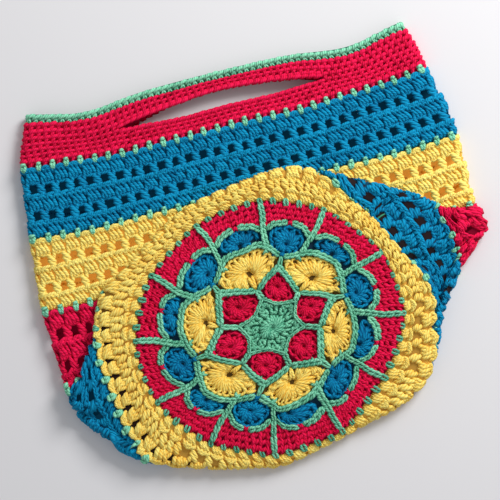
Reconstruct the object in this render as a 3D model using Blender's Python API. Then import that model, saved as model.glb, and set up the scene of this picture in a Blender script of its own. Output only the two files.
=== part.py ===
# Round-bottomed crocheted tote bag, lying on its back wall with its base folded up over its front.
# The bag is one tube of colour bands, worked out from the edge of a round base to the mouth.
# A point of the tube has two coordinates: u, the angle round the base in degrees, and s, the way
# along the wall from the base's edge to the mouth. lying_wall() says where each point lies.
# X runs along the width, +Y towards the mouth, +Z up, and the lowest point of the bag is at Z 0.

import math

import bmesh
import bpy
import numpy as np

MM = 0.001

# Driving dimensions, in millimetres
BAG_WIDTH = 406.0
BASE_RADIUS = 115.2
WALL_THICKNESS = 2.8
CAVITY = 6.4
PLEAT_SPACE = 1.6
BASE_LIFT = 8.0
PIECE_GAP = 0.3
OUTLINE_GAP = 0.9
CHAIN_HEIGHT = 2.0
CHAIN_WIDTH = 5.0
MINT_ROUND = 3.2
FIRST_BAND = 36.9
WIDE_BAND = 64.2
TOP_BAND = 36.0
MOUTH_EDGE = 8.4
SLOT_RISE = 1.8
SLOT_END = 2.2
SLOT_DIP = 3.0
SLOT_ARCH = 6.0

# The layout below is drawn on the flat lying bag, in drawing units: the bag is 451 units wide,
# and its wall is 399 units from the base's edge to the mouth.
DRAWING_WIDTH = 451.0
UNIT = BAG_WIDTH / DRAWING_WIDTH
WALL_UNITS = 399.0
RING_UNITS = 128.0
BASE_CENTRE = np.array([-9.3, 137.2])
OUTLINE_CENTRE = np.array([0.5, 202.2])
TWIST = 12.0
SPOKE_PHASE = -8.3

# Where the flap turns down over the front, and where the outline turns under to the back:
# u, s, x, y
TURN = [
    (4, 143, 210, 166), (8, 152, 221, 175), (12, 160, 226, 183), (14.6, 176, 221, 197),
    (18, 177, 211, 206), (22, 152, 198, 210), (28, 120, 184, 215), (34, 104, 171, 228),
    (40, 82, 150, 242), (47, 60, 119, 258), (54, 46, 88, 271), (72, 41, 39, 290),
    (90, 39, -9, 292), (108, 37, -56, 275), (125, 36, -91, 256), (140, 38, -127, 232),
    (155, 42, -163, 208), (168, 46, -179, 172), (174, 64, -190, 160), (179, 86, -199, 145),
    (184, 106, -211, 125), (188, 106, -216, 112), (192, 99, -218, 102), (196, 91, -212, 91),
    (203, 76, -196, 71), (210, 60, -176, 47), (221, 46, -138, 27), (232, 34, -103, 15),
    (248, 22, -62, 4.5), (270, 13, -9, 0.6), (284, 11, 23, 8), (299, 15, 57, 17),
    (311, 25, 88, 25.5), (319, 35, 110, 34), (327, 43, 130, 47), (337, 49, 147, 71),
    (346, 57, 158, 97), (351, 78, 168, 113), (355, 106, 179, 131), (359.5, 125, 192, 150),
]

# Where the wall turns back up to the mouth under the flap, or simply passes on the back: u, s, x, y
RETURN = [
    (4, 168, 206, 187), (8, 173, 216, 191), (12, 178, 224, 196), (14.6, 190, 217, 203),
    (18, 188, 208, 201), (22, 179, 197, 191), (28, 171, 182, 186), (34, 171, 167, 184),
    (40, 169, 152, 181), (54, 163, 118, 174), (72, 166, 73, 174), (90, 168, 28, 174),
    (108, 161, -16, 166), (125, 150, -59, 155), (140, 139, -96, 144), (155, 130, -133, 135),
    (168, 115, -165, 119), (174, 117, -180, 121), (179, 119, -193, 123), (184, 122, -209, 131),
    (188, 128, -216, 131), (192, 130, -221, 133), (196, 132, -213, 134), (210, 125, -178, 118),
    (232, 112, -121, 100), (270, 102, -31, 92), (300, 102, 40, 92), (327, 118, 110, 112),
    (346, 120, 157, 147), (355, 150, 181, 170), (359.5, 160, 191, 180),
]

# The side folds of the flap, where it slopes down off the base: u, then s, radius, angle from u
# and height share (1 at the base, 0 at the level of the side fold) for three points before the turn.
SIDE_FOLDS = [
    (4, (43, 162, 0, 1.0), (66, 168, 0, 0.72), (118, 199.5, 1.0, 0.45)),
    (12, (43, 158, 0, 1.0), (66, 164, 0, 0.76), (120, 203, -1.8, 0.62)),
    (18, (43, 155, 0, 1.0), (66, 161, -0.5, 0.80), (120, 206, -3.4, 0.70)),
    (24, (43, 154, 0, 1.0), (66, 161, -1.0, 0.84), (108, 198, -4.4, 0.76)),
    (32, (43, 154, 0, 1.0), (64, 161, 0, 0.90), (92, 185, -2.5, 0.84)),
    (176, (18, 144, 0, 1.0), (45, 173, 0, 0.88), (60, 181, 0, 0.84)),
    (184, (18, 144, 0, 1.0), (45, 170, 0, 0.86), (68, 187, 0, 0.70)),
    (192, (18, 144, 0, 1.0), (45, 171, 0, 0.84), (80, 201, 0, 0.52)),
    (203, (18, 144, 0, 1.0), (45, 175, 0, 0.84), (60, 185, 0, 0.66)),
    (351, (36, 160, 0, 1.0), (46, 168, 0, 0.82), (56, 172, 1, 0.66)),
    (355, (43, 167, 0, 1.0), (60, 171, 0, 0.72), (88, 180, 1.2, 0.50)),
    (359.5, (43, 165, 0, 1.0), (66, 170, 0, 0.66), (105, 188, 1.6, 0.40)),
]
SIDE_RANGES = ((-9.0, 32.0), (176.0, 203.0))
SIDE_FADE = 9.0
SIDE_DROP = 7.0
RIM_DROP = 1.0
PLAIN_SHARES = (0.3, 0.6, 0.9)

# The folds: how much of the way in and of the way out a fold may take, the earliest share of the
# way to the turn at which it may start, the least half height of the turn and of the return, and
# the least step of s from one point of a column to the next
FOLD_ROOM_IN = 0.55
FOLD_ROOM_OUT = 0.3
FOLD_START = 0.25
LEAST_TURN = 0.5
LEAST_RETURN = 0.02
LEAST_STEP = 0.4
MOST_PUSH = 0.9

# How the base sinks towards the bottom of the bag: as far as this many radii, and how late
SINK_REACH = 1.2
SINK_CURVE = 1.6

# Half outlines of the lying tube above the flap: s, left x, right x, y in the middle, rise at the sides
TUBE_ROWS = [
    (198, -225, 222, 205, 3.5), (273, -219.5, 221.6, 276, 5), (348, -211, 207.5, 344, 9),
    (390, -197, 197, 387, 7), (399, -192, 192, 397, 8),
]

# The back wall lies a little lower than the front one, up to the height where that ends
BACK_DROP = 11.0
BACK_DROP_END = 348.0
BACK_DROP_FADE = 150.0

# Outlines of the flower's rounds on a base of the drawing's radius: the radius at the star's
# points, the radius at the petals, and how narrow the swing between them is
STAR_OUTLINE = (37.0, 26.5, 1.3)
PETAL_OUTLINE = (50.0, 65.0, 1.0)
SHELL_OUTLINE = (91.0, 73.0, 0.7)
SCALLOP_RADIUS = 101.0
SCALLOP_SWING = 9.5

# Columns of the tube's drawing, as half-turn angles of the flattened tube
TUBE_COLUMNS = (0, 3.2, 9, 16, 25, 33.5, 42, 54, 66, 78, 90)
FIRST_SLOT_COLUMN = 6
LAST_SLOT_COLUMN = 14
LOWER_ROWS = 4
BAND_ROWS = 5
LACE_ROWS = (1, 3)
BASE_COLUMNS = 48
SPOKES = 12
ARC_OFFSETS = (7.0, 12.8, 17.2, 23.0)

YELLOW = (0.86, 0.60, 0.16)
BLUE = (0.006, 0.22, 0.42)
RED = (0.66, 0.012, 0.055)
MINT = (0.18, 0.58, 0.36)


def hermite_slopes(knots, values):
    """Slopes of a smooth curve through the values that never overshoots them."""
    steps = np.diff(knots)
    rises = np.diff(values, axis=0) / steps[:, None]
    slopes = np.zeros_like(values)
    inner = rises[:-1] * rises[1:] > 0
    before = steps[1:] * 2 + steps[:-1]
    after = steps[1:] + 2 * steps[:-1]
    shared = (before + after)[:, None]
    with np.errstate(divide="ignore", invalid="ignore"):
        mean = shared / (before[:, None] / rises[:-1] + after[:, None] / rises[1:])
    slopes[1:-1] = np.where(inner, mean, 0.0)
    slopes[0] = rises[0]
    slopes[-1] = rises[-1]
    return slopes


def smooth_curve(knots, values, at):
    """Values of the smooth curve at the places given."""
    slopes = hermite_slopes(knots, values)
    cell = np.clip(np.searchsorted(knots, at, side="right") - 1, 0, len(knots) - 2)
    width = (knots[cell + 1] - knots[cell])[:, None]
    part = ((at - knots[cell])[:, None]) / width
    rest = 1 - part
    start = (1 + 2 * part) * rest * rest
    end = part * part * (3 - 2 * part)
    lean_in = part * rest * rest * width
    lean_out = -part * part * rest * width
    return (start * values[cell] + end * values[cell + 1]
            + lean_in * slopes[cell] + lean_out * slopes[cell + 1])


def round_curve(angles, values, at):
    """A smooth curve round the whole bag, through values given at some angles."""
    order = np.argsort(angles)
    angles = angles[order]
    values = values[order]
    wrapped = np.concatenate([angles[-3:] - 360, angles, angles[:3] + 360])
    return smooth_curve(wrapped, np.concatenate([values[-3:], values, values[:3]]), at % 360.0)


def polar(points):
    """Radius and angle of drawing points about the centre of the base."""
    rel = points - BASE_CENTRE
    return np.hypot(rel[:, 0], rel[:, 1]), np.degrees(np.arctan2(rel[:, 1], rel[:, 0]))


def from_polar(radius, degrees):
    """Drawing points at a radius and an angle about the centre of the base."""
    angle = np.radians(degrees)
    return BASE_CENTRE + np.stack([radius * np.cos(angle), radius * np.sin(angle)], axis=-1)


def ring_growth():
    """How much larger the base's radius is than the one in the drawing, in drawing units."""
    return BASE_RADIUS / UNIT - RING_UNITS


def flower_scale():
    """Size of the flower next to the one in the drawing, so that it follows the base."""
    return BASE_RADIUS / UNIT / RING_UNITS


def back_level():
    return WALL_THICKNESS / 2


def front_level():
    return back_level() + WALL_THICKNESS + CAVITY


def pleat_level():
    return front_level() + WALL_THICKNESS + PLEAT_SPACE


def top_level():
    return pleat_level() + WALL_THICKNESS + PLEAT_SPACE


def base_height(points):
    """Height of the base's middle surface: level over the front wall, lower towards the bottom."""
    down = np.clip((BASE_CENTRE[1] - points[..., 1]) / RING_UNITS, 0, SINK_REACH)
    return top_level() - BASE_LIFT * down ** SINK_CURVE


def turn_tables():
    """The turn and return tables as arrays of radius, offset angle and s, by angle."""
    turn = np.array(TURN, dtype=float)
    radius, angle = polar(turn[:, 2:4])
    offset = (angle - turn[:, 0] + 180) % 360 - 180
    back = np.array(RETURN, dtype=float)
    return turn[:, 0], np.stack([radius, offset, turn[:, 1]], axis=1), back[:, 0], back[:, 1:4]


def tube_point(row, phase):
    """Drawing place and height of a column on one row of the flattened tube."""
    s, left, right, middle, rise = row
    half_gap = (front_level() - back_level()) / 2 / UNIT
    flat = right - left - 2 * half_gap
    length = flat + math.pi * half_gap
    front = phase % 360.0
    side = np.where(front > 180, 360 - front, front)
    run = side / 180 * length
    arc = math.pi / 2 * half_gap
    turn_right = np.clip(run / half_gap, 0, math.pi / 2)
    turn_left = np.clip((length - run) / half_gap, 0, math.pi / 2)
    x = np.where(run < arc, right - half_gap + half_gap * np.cos(turn_right),
                 np.where(length - run < arc, left + half_gap - half_gap * np.cos(turn_left),
                          right - half_gap - (run - arc)))
    share = np.minimum(np.sin(turn_right), np.sin(turn_left))
    share = np.where(front > 180, (1 - share) / 2, (1 + share) / 2)
    bend = np.abs((x - (left + right) / 2) / ((right - left) / 2)) ** 4
    fade = np.clip((BACK_DROP_END - s) / BACK_DROP_FADE, 0, 1)
    lower_back = np.where(front > 180, BACK_DROP, 0.0) * (1 - bend) * fade
    y = middle + rise * bend - lower_back
    return x, y, share


def column_knots(degrees):
    """The points that one column of the wall passes through: s, x, y and height, in order."""
    turn_angles, turn_values, back_angles, back_values = turn_tables()
    u = np.atleast_1d(np.asarray(degrees, dtype=float)) % 360.0
    grow = ring_growth()
    turn = round_curve(turn_angles, turn_values, u)
    back = round_curve(back_angles, back_values, u)
    edge = from_polar(np.full_like(u, RING_UNITS + grow), u)
    tip = from_polar(turn[:, 0] + grow, u + turn[:, 1])
    under = back[:, 1:3]
    tube = [tube_point(row, u - TWIST) for row in TUBE_ROWS]
    share = tube[0][2]
    on_front = np.clip((share - 0.5) * 2, 0, 1)
    levels_back = back_level() + share * (front_level() - back_level())
    between = back_level() + share * (pleat_level() - back_level())
    height = base_height(edge)
    beside = np.minimum((u - TWIST) % 180, (TWIST - u) % 180)
    flap = np.where(share > 0.5, top_level() - SIDE_DROP * (1 - on_front),
                    height - RIM_DROP - (SIDE_DROP - RIM_DROP) * np.exp(-(beside / SIDE_FADE) ** 2))
    lower = np.where(share > 0.5, between, back_level())
    half = np.maximum((flap - lower) / 2 / UNIT, LEAST_TURN)
    start_s = np.maximum(turn[:, 2] - half * math.pi / 2, turn[:, 2] * FOLD_START)
    fold_in = tip - edge
    reach = np.hypot(fold_in[:, 0], fold_in[:, 1])
    fold_in = fold_in / reach[:, None]
    room = np.minimum(half, reach * FOLD_ROOM_IN)
    begin = tip - fold_in * room[:, None]
    knots = [np.stack([np.zeros_like(u), edge[:, 0], edge[:, 1], height], axis=1)]
    plain = []
    for share_in in PLAIN_SHARES:
        spot = edge + (begin - edge) * share_in
        plain.append(np.concatenate([(start_s * share_in)[:, None], spot,
                                     (height + (flap - height) * share_in)[:, None]], axis=1))
    special_angles = np.array([key[0] for key in SIDE_FOLDS], dtype=float)
    near = side_share(u)[:, None]
    for number in range(len(PLAIN_SHARES)):
        values = np.array([key[number + 1] for key in SIDE_FOLDS], dtype=float)
        wanted = round_curve(special_angles, values, u)
        place = from_polar(wanted[:, 1] + grow, u + wanted[:, 2])
        z = lower + wanted[:, 3] * (top_level() - lower)
        made = np.concatenate([wanted[:, :1], place, z[:, None]], axis=1)
        knots.append(plain[number] * (1 - near) + made * near)
    knots += fold_knots(tip, fold_in, under - tip, room, half, turn[:, 2], flap, lower, knots[-1])
    over = np.where(share > 0.5, between, back_level())
    final = np.where(share > 0.5, levels_back, back_level())
    middle = (knots[-1][:, 1:3] + under) / 2
    pause = (knots[-1][:, 0] + back[:, 0]) / 2
    knots.append(np.concatenate([pause[:, None], middle, ((over + lower) / 2)[:, None]], axis=1))
    up = np.stack([tube[0][0], tube[0][1]], axis=1) - under
    small = np.maximum((over - final) / 2 / UNIT, LEAST_RETURN)
    away = under - tip
    span = np.hypot(away[:, 0], away[:, 1])
    away = away / np.maximum(span, 1e-6)[:, None]
    knots += fold_knots(under, away, up, np.minimum(small, span * FOLD_ROOM_OUT), small,
                        back[:, 0], over, final, knots[-1])
    for row, (x, y, part) in zip(TUBE_ROWS, tube):
        z = back_level() + part * (front_level() - back_level())
        knots.append(np.stack([np.full_like(u, row[0]), x, y, z], axis=1))
    path = np.stack(knots, axis=1)
    for number in range(1, path.shape[1]):
        path[:, number, 0] = np.maximum(path[:, number, 0], path[:, number - 1, 0] + LEAST_STEP)
    path[:, :, 0] *= WALL_UNITS / path[:, -1:, 0]
    return path


def side_share(u):
    """1 where the flap slopes off the base at either side, falling to 0 away from there."""
    share = np.zeros_like(u)
    for first, last in SIDE_RANGES:
        middle = (first + last) / 2
        gap = np.abs((u - middle + 180) % 360 - 180) - (last - first) / 2
        part = np.clip(1 - gap / SIDE_FADE, 0, 1)
        share = np.maximum(share, part * part * (3 - 2 * part))
    return share


def fold_knots(tip, way_in, way_out, room, half, tip_s, high, low, before):
    """Five points round a fold: in along way_in at the high level, out along way_out at the low."""
    length = np.hypot(way_out[:, 0], way_out[:, 1])
    way_out = way_out / np.maximum(length, 1e-6)[:, None]
    room_out = np.minimum(room, length * FOLD_ROOM_OUT)
    points = []
    for degrees in (0, 45, 90, 135, 180):
        turn = math.radians(degrees)
        back = 1 - math.sin(turn)
        if degrees <= 90:
            spot = tip - way_in * (room * back)[:, None]
        else:
            spot = tip + way_out * (room_out * back)[:, None]
        s = tip_s + (degrees / 90 - 1) * half * math.pi / 2
        z = (high + low) / 2 + (high - low) / 2 * math.cos(turn)
        points.append(np.concatenate([s[:, None], spot, z[:, None]], axis=1))
    first = points[0][:, 0]
    floor_s = before[:, 0] + LEAST_STEP
    push = np.clip((floor_s - first) / np.maximum(tip_s - first, 1e-6), 0, MOST_PUSH)
    for point in points[:2]:
        point[:, 0] = point[:, 0] + (tip_s - point[:, 0]) * push
    return points


def lying_wall(degrees, along):
    """Middle surface of the wall, in millimetres, for every angle and every s in drawing units."""
    path = column_knots(degrees)
    along = np.asarray(along, dtype=float)
    grid = np.empty((len(path), along.shape[-1], 3))
    for number, knots in enumerate(path):
        wanted = along if along.ndim == 1 else along[number]
        grid[number] = smooth_curve(knots[:, 0], knots[:, 1:], wanted)
    grid[:, :, 0:2] = (grid[:, :, 0:2] - OUTLINE_CENTRE) * UNIT
    return grid


def wall_sides(degrees, along):
    """Outer and inner surface of the wall, each half a thickness from the middle."""
    step = 0.25
    degrees = np.asarray(degrees, dtype=float)
    along = np.asarray(along, dtype=float)
    middle = lying_wall(degrees, along)
    round_way = lying_wall(degrees + step, along) - lying_wall(degrees - step, along)
    up_way = (lying_wall(degrees, np.minimum(along + step, WALL_UNITS))
              - lying_wall(degrees, np.maximum(along - step, 0)))
    normal = np.cross(up_way, round_way)
    normal /= np.maximum(np.linalg.norm(normal, axis=2, keepdims=True), 1e-9)
    return middle + normal * WALL_THICKNESS / 2, middle - normal * WALL_THICKNESS / 2


def new_material(name, colour):
    material = bpy.data.materials.new(name)
    material.use_nodes = True
    shader = material.node_tree.nodes["Principled BSDF"]
    shader.inputs["Base Color"].default_value = (*colour, 1.0)
    shader.inputs["Roughness"].default_value = 0.9
    shader.inputs["Metallic"].default_value = 0.0
    return material


def new_object(name, mesh, colour):
    mesh.materials.append(new_material(name, colour))
    item = bpy.data.objects.new(name, mesh)
    bpy.context.collection.objects.link(item)
    return item


def closed_grid(name, outer, inner, filled, colour, wraps=True):
    """One closed solid from two matching grids of points, with a cell where filled is true."""
    columns, rows = filled.shape
    lines = outer.shape[0]
    model = bmesh.new()
    corners = {}

    def corner(side, column, row):
        key = (side, column % lines if wraps else column, row)
        if key not in corners:
            grid = outer if side else inner
            corners[key] = model.verts.new(grid[key[1], row] * MM)
        return corners[key]

    def cell(column, row):
        if row < 0 or row >= rows:
            return False
        if wraps:
            return bool(filled[column % columns, row])
        return 0 <= column < columns and bool(filled[column, row])

    for column in range(columns):
        for row in range(rows):
            if not cell(column, row):
                continue
            ring = [(column, row), (column, row + 1), (column + 1, row + 1), (column + 1, row)]
            model.faces.new([corner(1, *spot) for spot in ring])
            model.faces.new([corner(0, *spot) for spot in reversed(ring)])
            beside = [(column - 1, row), (column, row + 1), (column + 1, row), (column, row - 1)]
            for number, place in enumerate(beside):
                if cell(*place):
                    continue
                first = ring[number]
                second = ring[(number + 1) % 4]
                model.faces.new([corner(1, *second), corner(1, *first),
                                 corner(0, *first), corner(0, *second)])
    bmesh.ops.triangulate(model, faces=model.faces[:])
    mesh = bpy.data.meshes.new(name)
    model.to_mesh(mesh)
    model.free()
    return new_object(name, mesh, colour)


def tube_columns():
    """Angles u of the drawing's columns, all the way round the bag."""
    quarter = list(TUBE_COLUMNS)
    half = quarter + [180 - angle for angle in reversed(quarter[:-1])]
    whole = half + [360 - angle for angle in reversed(half[1:-1])]
    return np.array(whole, dtype=float) + TWIST


def snapped(rows, wanted, reach):
    """Rows with the nearest inner one moved onto each wanted place, column by column."""
    rows = rows.copy()
    if rows.shape[1] < 3:
        return rows
    for column in range(rows.shape[0]):
        for place in wanted[column]:
            inner = rows[column, 1:-1]
            nearest = int(np.argmin(np.abs(inner - place)))
            if abs(inner[nearest] - place) < reach:
                rows[column, nearest + 1] = place
    return rows


def wall_band(name, start, end, rows, open_rows, colour):
    """A band of the wall between two heights, with every other cell open in its lace rows."""
    columns = tube_columns()
    gap = PIECE_GAP / UNIT / 2
    lines = np.linspace(start + gap, end - gap, rows + 1)
    grid = np.tile(lines, (len(columns), 1))
    turn_angles, turn_values, back_angles, back_values = turn_tables()
    turn = round_curve(turn_angles, turn_values, columns)[:, 2]
    back = round_curve(back_angles, back_values, columns)[:, 0]
    reach = (end - start) / rows / 2
    on_front = (columns - TWIST) % 360 < 180
    back = np.where(on_front, back, -WALL_UNITS)
    grid = snapped(grid, np.stack([turn, back], axis=1), reach)
    outer, inner = wall_sides(columns, grid)
    filled = np.ones((len(columns), rows), dtype=bool)
    for row in open_rows:
        filled[::2, row] = False
    return closed_grid(name, outer, inner, filled, colour)


def top_band(name, start, end, colour):
    """The band at the mouth, with a hand slot through its front and one through its back."""
    columns = tube_columns()
    gap = PIECE_GAP / UNIT / 2
    grid = np.tile(np.array([start + gap, 0.0, 0.0, end - gap]), (len(columns), 1))
    middle = (start + end) / 2 + SLOT_RISE / UNIT
    phase = (columns - TWIST) % 180
    inside = np.clip((phase - TUBE_COLUMNS[FIRST_SLOT_COLUMN])
                     / (180 - 2 * TUBE_COLUMNS[FIRST_SLOT_COLUMN]), 0, 1)
    arch = np.sin(inside * math.pi)
    grid[:, 1] = middle - SLOT_END / UNIT / 2 - SLOT_DIP / UNIT * arch
    grid[:, 2] = middle + SLOT_END / UNIT / 2 + SLOT_ARCH / UNIT * arch
    outer, inner = wall_sides(columns, grid)
    filled = np.ones((len(columns), 3), dtype=bool)
    half_turn = len(columns) // 2
    for column in range(FIRST_SLOT_COLUMN, LAST_SLOT_COLUMN):
        filled[column, 1] = False
        filled[column + half_turn, 1] = False
    return closed_grid(name, outer, inner, filled, colour)


def base_plan(radius, degrees, above):
    """Places on the lying base at a radius in drawing units, raised above its middle surface."""
    points = from_polar(radius, degrees)
    height = base_height(points) + above
    flat = (points - OUTLINE_CENTRE) * UNIT
    return np.concatenate([flat, height[..., None]], axis=-1)


def six_fold(degrees, outline):
    """A radius that swings between the six star points and the six petals."""
    at_point, at_petal, narrow = outline
    swing = (1 + np.cos(np.radians((degrees - SPOKE_PHASE - 45) * 6))) / 2
    return (at_petal + (at_point - at_petal) * swing ** narrow) * flower_scale()


def star_line(degrees):
    return six_fold(degrees, STAR_OUTLINE)


def petal_line(degrees):
    return six_fold(degrees, PETAL_OUTLINE)


def shell_line(degrees):
    return six_fold(degrees, SHELL_OUTLINE)


def scallop_line(degrees):
    swing = np.abs(np.sin(np.radians((degrees - SPOKE_PHASE) * 6)))
    return (SCALLOP_RADIUS + SCALLOP_SWING * swing) * flower_scale()


def base_round(name, inside, outside, colour):
    """One round of the base between two outlines, or the disc inside the first one."""
    angles = SPOKE_PHASE + np.arange(BASE_COLUMNS) * 360.0 / BASE_COLUMNS
    gap = PIECE_GAP / UNIT / 2
    near = inside(angles) + gap
    far = outside(angles) - gap
    radius = np.stack([near, far], axis=1)
    turn = np.repeat(angles[:, None], 2, axis=1)
    outer = base_plan(radius, turn, WALL_THICKNESS / 2)
    inner = base_plan(radius, turn, -WALL_THICKNESS / 2)
    return closed_grid(name, outer, inner, np.ones((BASE_COLUMNS, 1), dtype=bool), colour)


def centre_star(name, colour):
    """The star at the middle of the base, a flat slab with six points."""
    angles = SPOKE_PHASE + np.arange(BASE_COLUMNS) * 360.0 / BASE_COLUMNS
    rim = star_line(angles) - PIECE_GAP / UNIT / 2
    model = bmesh.new()
    top = [model.verts.new(spot * MM) for spot in base_plan(rim, angles, WALL_THICKNESS / 2)]
    low = [model.verts.new(spot * MM) for spot in base_plan(rim, angles, -WALL_THICKNESS / 2)]
    zero = np.zeros(1)
    top_hub = model.verts.new(base_plan(zero, zero, WALL_THICKNESS / 2)[0] * MM)
    low_hub = model.verts.new(base_plan(zero, zero, -WALL_THICKNESS / 2)[0] * MM)
    for number in range(BASE_COLUMNS):
        after = (number + 1) % BASE_COLUMNS
        model.faces.new([top_hub, top[number], top[after]])
        model.faces.new([low_hub, low[after], low[number]])
        model.faces.new([top[number], low[number], low[after], top[after]])
    bmesh.ops.triangulate(model, faces=model.faces[:])
    bmesh.ops.recalc_face_normals(model, faces=model.faces[:])
    mesh = bpy.data.meshes.new(name)
    model.to_mesh(mesh)
    model.free()
    return new_object(name, mesh, colour)


def chain_levels():
    """Heights of a chain's underside and top above the base's middle surface."""
    low = WALL_THICKNESS / 2 + PIECE_GAP
    return low, low + CHAIN_HEIGHT


def petal_chain(name, colour):
    """The mint chain round the petals, lying on the base."""
    angles = SPOKE_PHASE + np.arange(0, 360, 15.0)
    middle = petal_line(angles)
    half = CHAIN_WIDTH / UNIT / 2
    radius = np.stack([middle - half, middle + half], axis=1)
    turn = np.repeat(angles[:, None], 2, axis=1)
    low, high = chain_levels()
    filled = np.ones((len(angles), 1), dtype=bool)
    return closed_grid(name, base_plan(radius, turn, high), base_plan(radius, turn, low),
                       filled, colour)


def scallop_chain(name, colour):
    """The mint chain round the shells, its twelve spokes and the arcs between them."""
    half = CHAIN_WIDTH / UNIT / 2
    end = BASE_RADIUS / UNIT - half
    columns = []
    for spoke in range(SPOKES):
        centre = SPOKE_PHASE + spoke * 360.0 / SPOKES
        columns += [(centre, -1.0), (centre, 1.0)]
        columns += [(centre + offset, 0.0) for offset in ARC_OFFSETS]
    rows = 6
    radius = np.empty((len(columns), rows))
    turn = np.empty((len(columns), rows))
    for number, (centre, side) in enumerate(columns):
        shell = shell_line(np.array([centre]))[0]
        scallop = scallop_line(np.array([centre]))[0]
        spots = [shell - half, shell + half, scallop - half, scallop + half, end - half, end]
        for row, spot in enumerate(spots):
            radius[number, row] = spot
            turn[number, row] = centre + side * math.degrees(math.asin(half / spot))
    filled = np.zeros((len(columns), rows - 1), dtype=bool)
    filled[:, 0] = True
    per_spoke = 2 + len(ARC_OFFSETS)
    for number in range(len(columns)):
        place = number % per_spoke
        if place == 0:
            filled[number, :] = True
        if place in (1, 2, 4, 5):
            filled[number, 2] = True
    low, high = chain_levels()
    return closed_grid(name, base_plan(radius, turn, high), base_plan(radius, turn, low),
                       filled, colour)


def base_edge(degrees):
    """Outline of the base itself, just inside the first round of the wall."""
    return np.full_like(degrees, (BASE_RADIUS - OUTLINE_GAP) / UNIT)


def wall_heights():
    """Start and end of each round of the wall, in drawing units, from the base to the mouth."""
    plan = [
        ("mint_round_1", MINT_ROUND), ("yellow_lower_band", FIRST_BAND),
        ("mint_round_2", MINT_ROUND), ("blue_lower_band", WIDE_BAND),
        ("mint_round_3", MINT_ROUND), ("red_middle_band", WIDE_BAND),
        ("mint_round_4", MINT_ROUND), ("yellow_upper_band", WIDE_BAND),
        ("mint_round_5", MINT_ROUND), ("blue_upper_band", WIDE_BAND),
        ("mint_round_6", MINT_ROUND), ("red_top_band", TOP_BAND), ("mint_edging", MOUTH_EDGE),
    ]
    total = sum(height for _, height in plan)
    scale = WALL_UNITS / total
    heights = {}
    at = 0.0
    for name, height in plan:
        heights[name] = (at, at + height * scale)
        at += height * scale
    return heights


def build_base():
    base_round("petal_round", star_line, petal_line, RED)
    base_round("shell_round", petal_line, shell_line, YELLOW)
    base_round("scallop_round", shell_line, scallop_line, BLUE)
    base_round("outer_round", scallop_line, base_edge, RED)
    centre_star("centre_star", MINT)
    petal_chain("petal_chain", MINT)
    scallop_chain("scallop_chain", MINT)


def build_wall():
    heights = wall_heights()
    for name, (start, end) in heights.items():
        if name.startswith("mint_round"):
            wall_band(name, start, end, 1, (), MINT)
    wall_band("yellow_lower_band", *heights["yellow_lower_band"], LOWER_ROWS, (1,), YELLOW)
    wall_band("blue_lower_band", *heights["blue_lower_band"], BAND_ROWS, LACE_ROWS, BLUE)
    wall_band("red_middle_band", *heights["red_middle_band"], BAND_ROWS, LACE_ROWS, RED)
    wall_band("yellow_upper_band", *heights["yellow_upper_band"], BAND_ROWS, LACE_ROWS, YELLOW)
    wall_band("blue_upper_band", *heights["blue_upper_band"], BAND_ROWS, LACE_ROWS, BLUE)
    top_band("red_top_band", *heights["red_top_band"], RED)
    wall_band("mint_edging", *heights["mint_edging"], 1, (), MINT)


def main():
    for item in list(bpy.data.objects):
        bpy.data.objects.remove(item, do_unlink=True)
    build_base()
    build_wall()


main()
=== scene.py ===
# %% [markdown]
# # A crocheted tote bag, lying on its back
# The real bag is one long spiral of cotton yarn: a round base with a flower, then bands of
# colour worked upwards to a mouth with two hand slots. Here it lies on a table with its base
# folded up over its front. A flat surface with a picture of stitches would look dead, so every
# stitch is a real length of yarn. One stitch of each kind is modelled from listed points, and
# copies of it are laid over the surface of the lying bag.

# %% The imported model, and what the stitches need
import math

import bpy
import numpy as np
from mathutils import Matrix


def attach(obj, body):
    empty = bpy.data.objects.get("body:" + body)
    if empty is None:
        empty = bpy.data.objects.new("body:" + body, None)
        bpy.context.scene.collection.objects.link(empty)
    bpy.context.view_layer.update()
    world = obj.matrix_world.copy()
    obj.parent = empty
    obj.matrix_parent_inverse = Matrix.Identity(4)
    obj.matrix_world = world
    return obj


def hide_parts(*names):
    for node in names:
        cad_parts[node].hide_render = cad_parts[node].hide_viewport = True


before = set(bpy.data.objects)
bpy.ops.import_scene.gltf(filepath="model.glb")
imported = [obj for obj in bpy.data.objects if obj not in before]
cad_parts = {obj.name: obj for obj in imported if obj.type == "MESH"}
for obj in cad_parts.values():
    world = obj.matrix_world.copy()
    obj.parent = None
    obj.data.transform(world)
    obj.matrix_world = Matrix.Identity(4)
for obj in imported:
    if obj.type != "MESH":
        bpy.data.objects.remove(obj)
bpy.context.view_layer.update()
bpy.ops.object.select_all(action="DESELECT")
chance = np.random.default_rng(7)

# %% [markdown]
# ## How the bag lies
# Every point of the wall has two coordinates: u, the angle round the base in degrees, and s, the
# way up the wall from the edge of the base to the mouth. The wall leaves the base, turns down
# over the front at its side folds, runs back under the flap, and turns up again as the flat
# tube. The turns are written down as places on a flat drawing of the bag, and smooth curves
# join them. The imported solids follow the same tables, so the yarn lands where they are.

# %% Sizes of the drawing, and heights of the layers
BAG_WIDTH = 406.0
DRAWN_WIDTH = 451.0
UNIT = BAG_WIDTH / DRAWN_WIDTH  # millimetres in one unit of the drawing
THICK = 2.8  # the cloth
CAVITY = 6.4  # between the walls
PLEAT = 1.6  # between the layers of the flap
BASE_LIFT = 8.0  # how much lower the base lies at the bottom of the bag
MOUTH = 399.0  # s at the mouth
RING = 128.0  # radius of the base
BASE_CENTRE = np.array([-9.3, 137.2])
DRAWING_CENTRE = np.array([0.5, 202.2])
TWIST = 12.0  # u of the tube's right side
SPOKE = -8.3  # angle of the flower's first spoke

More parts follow.
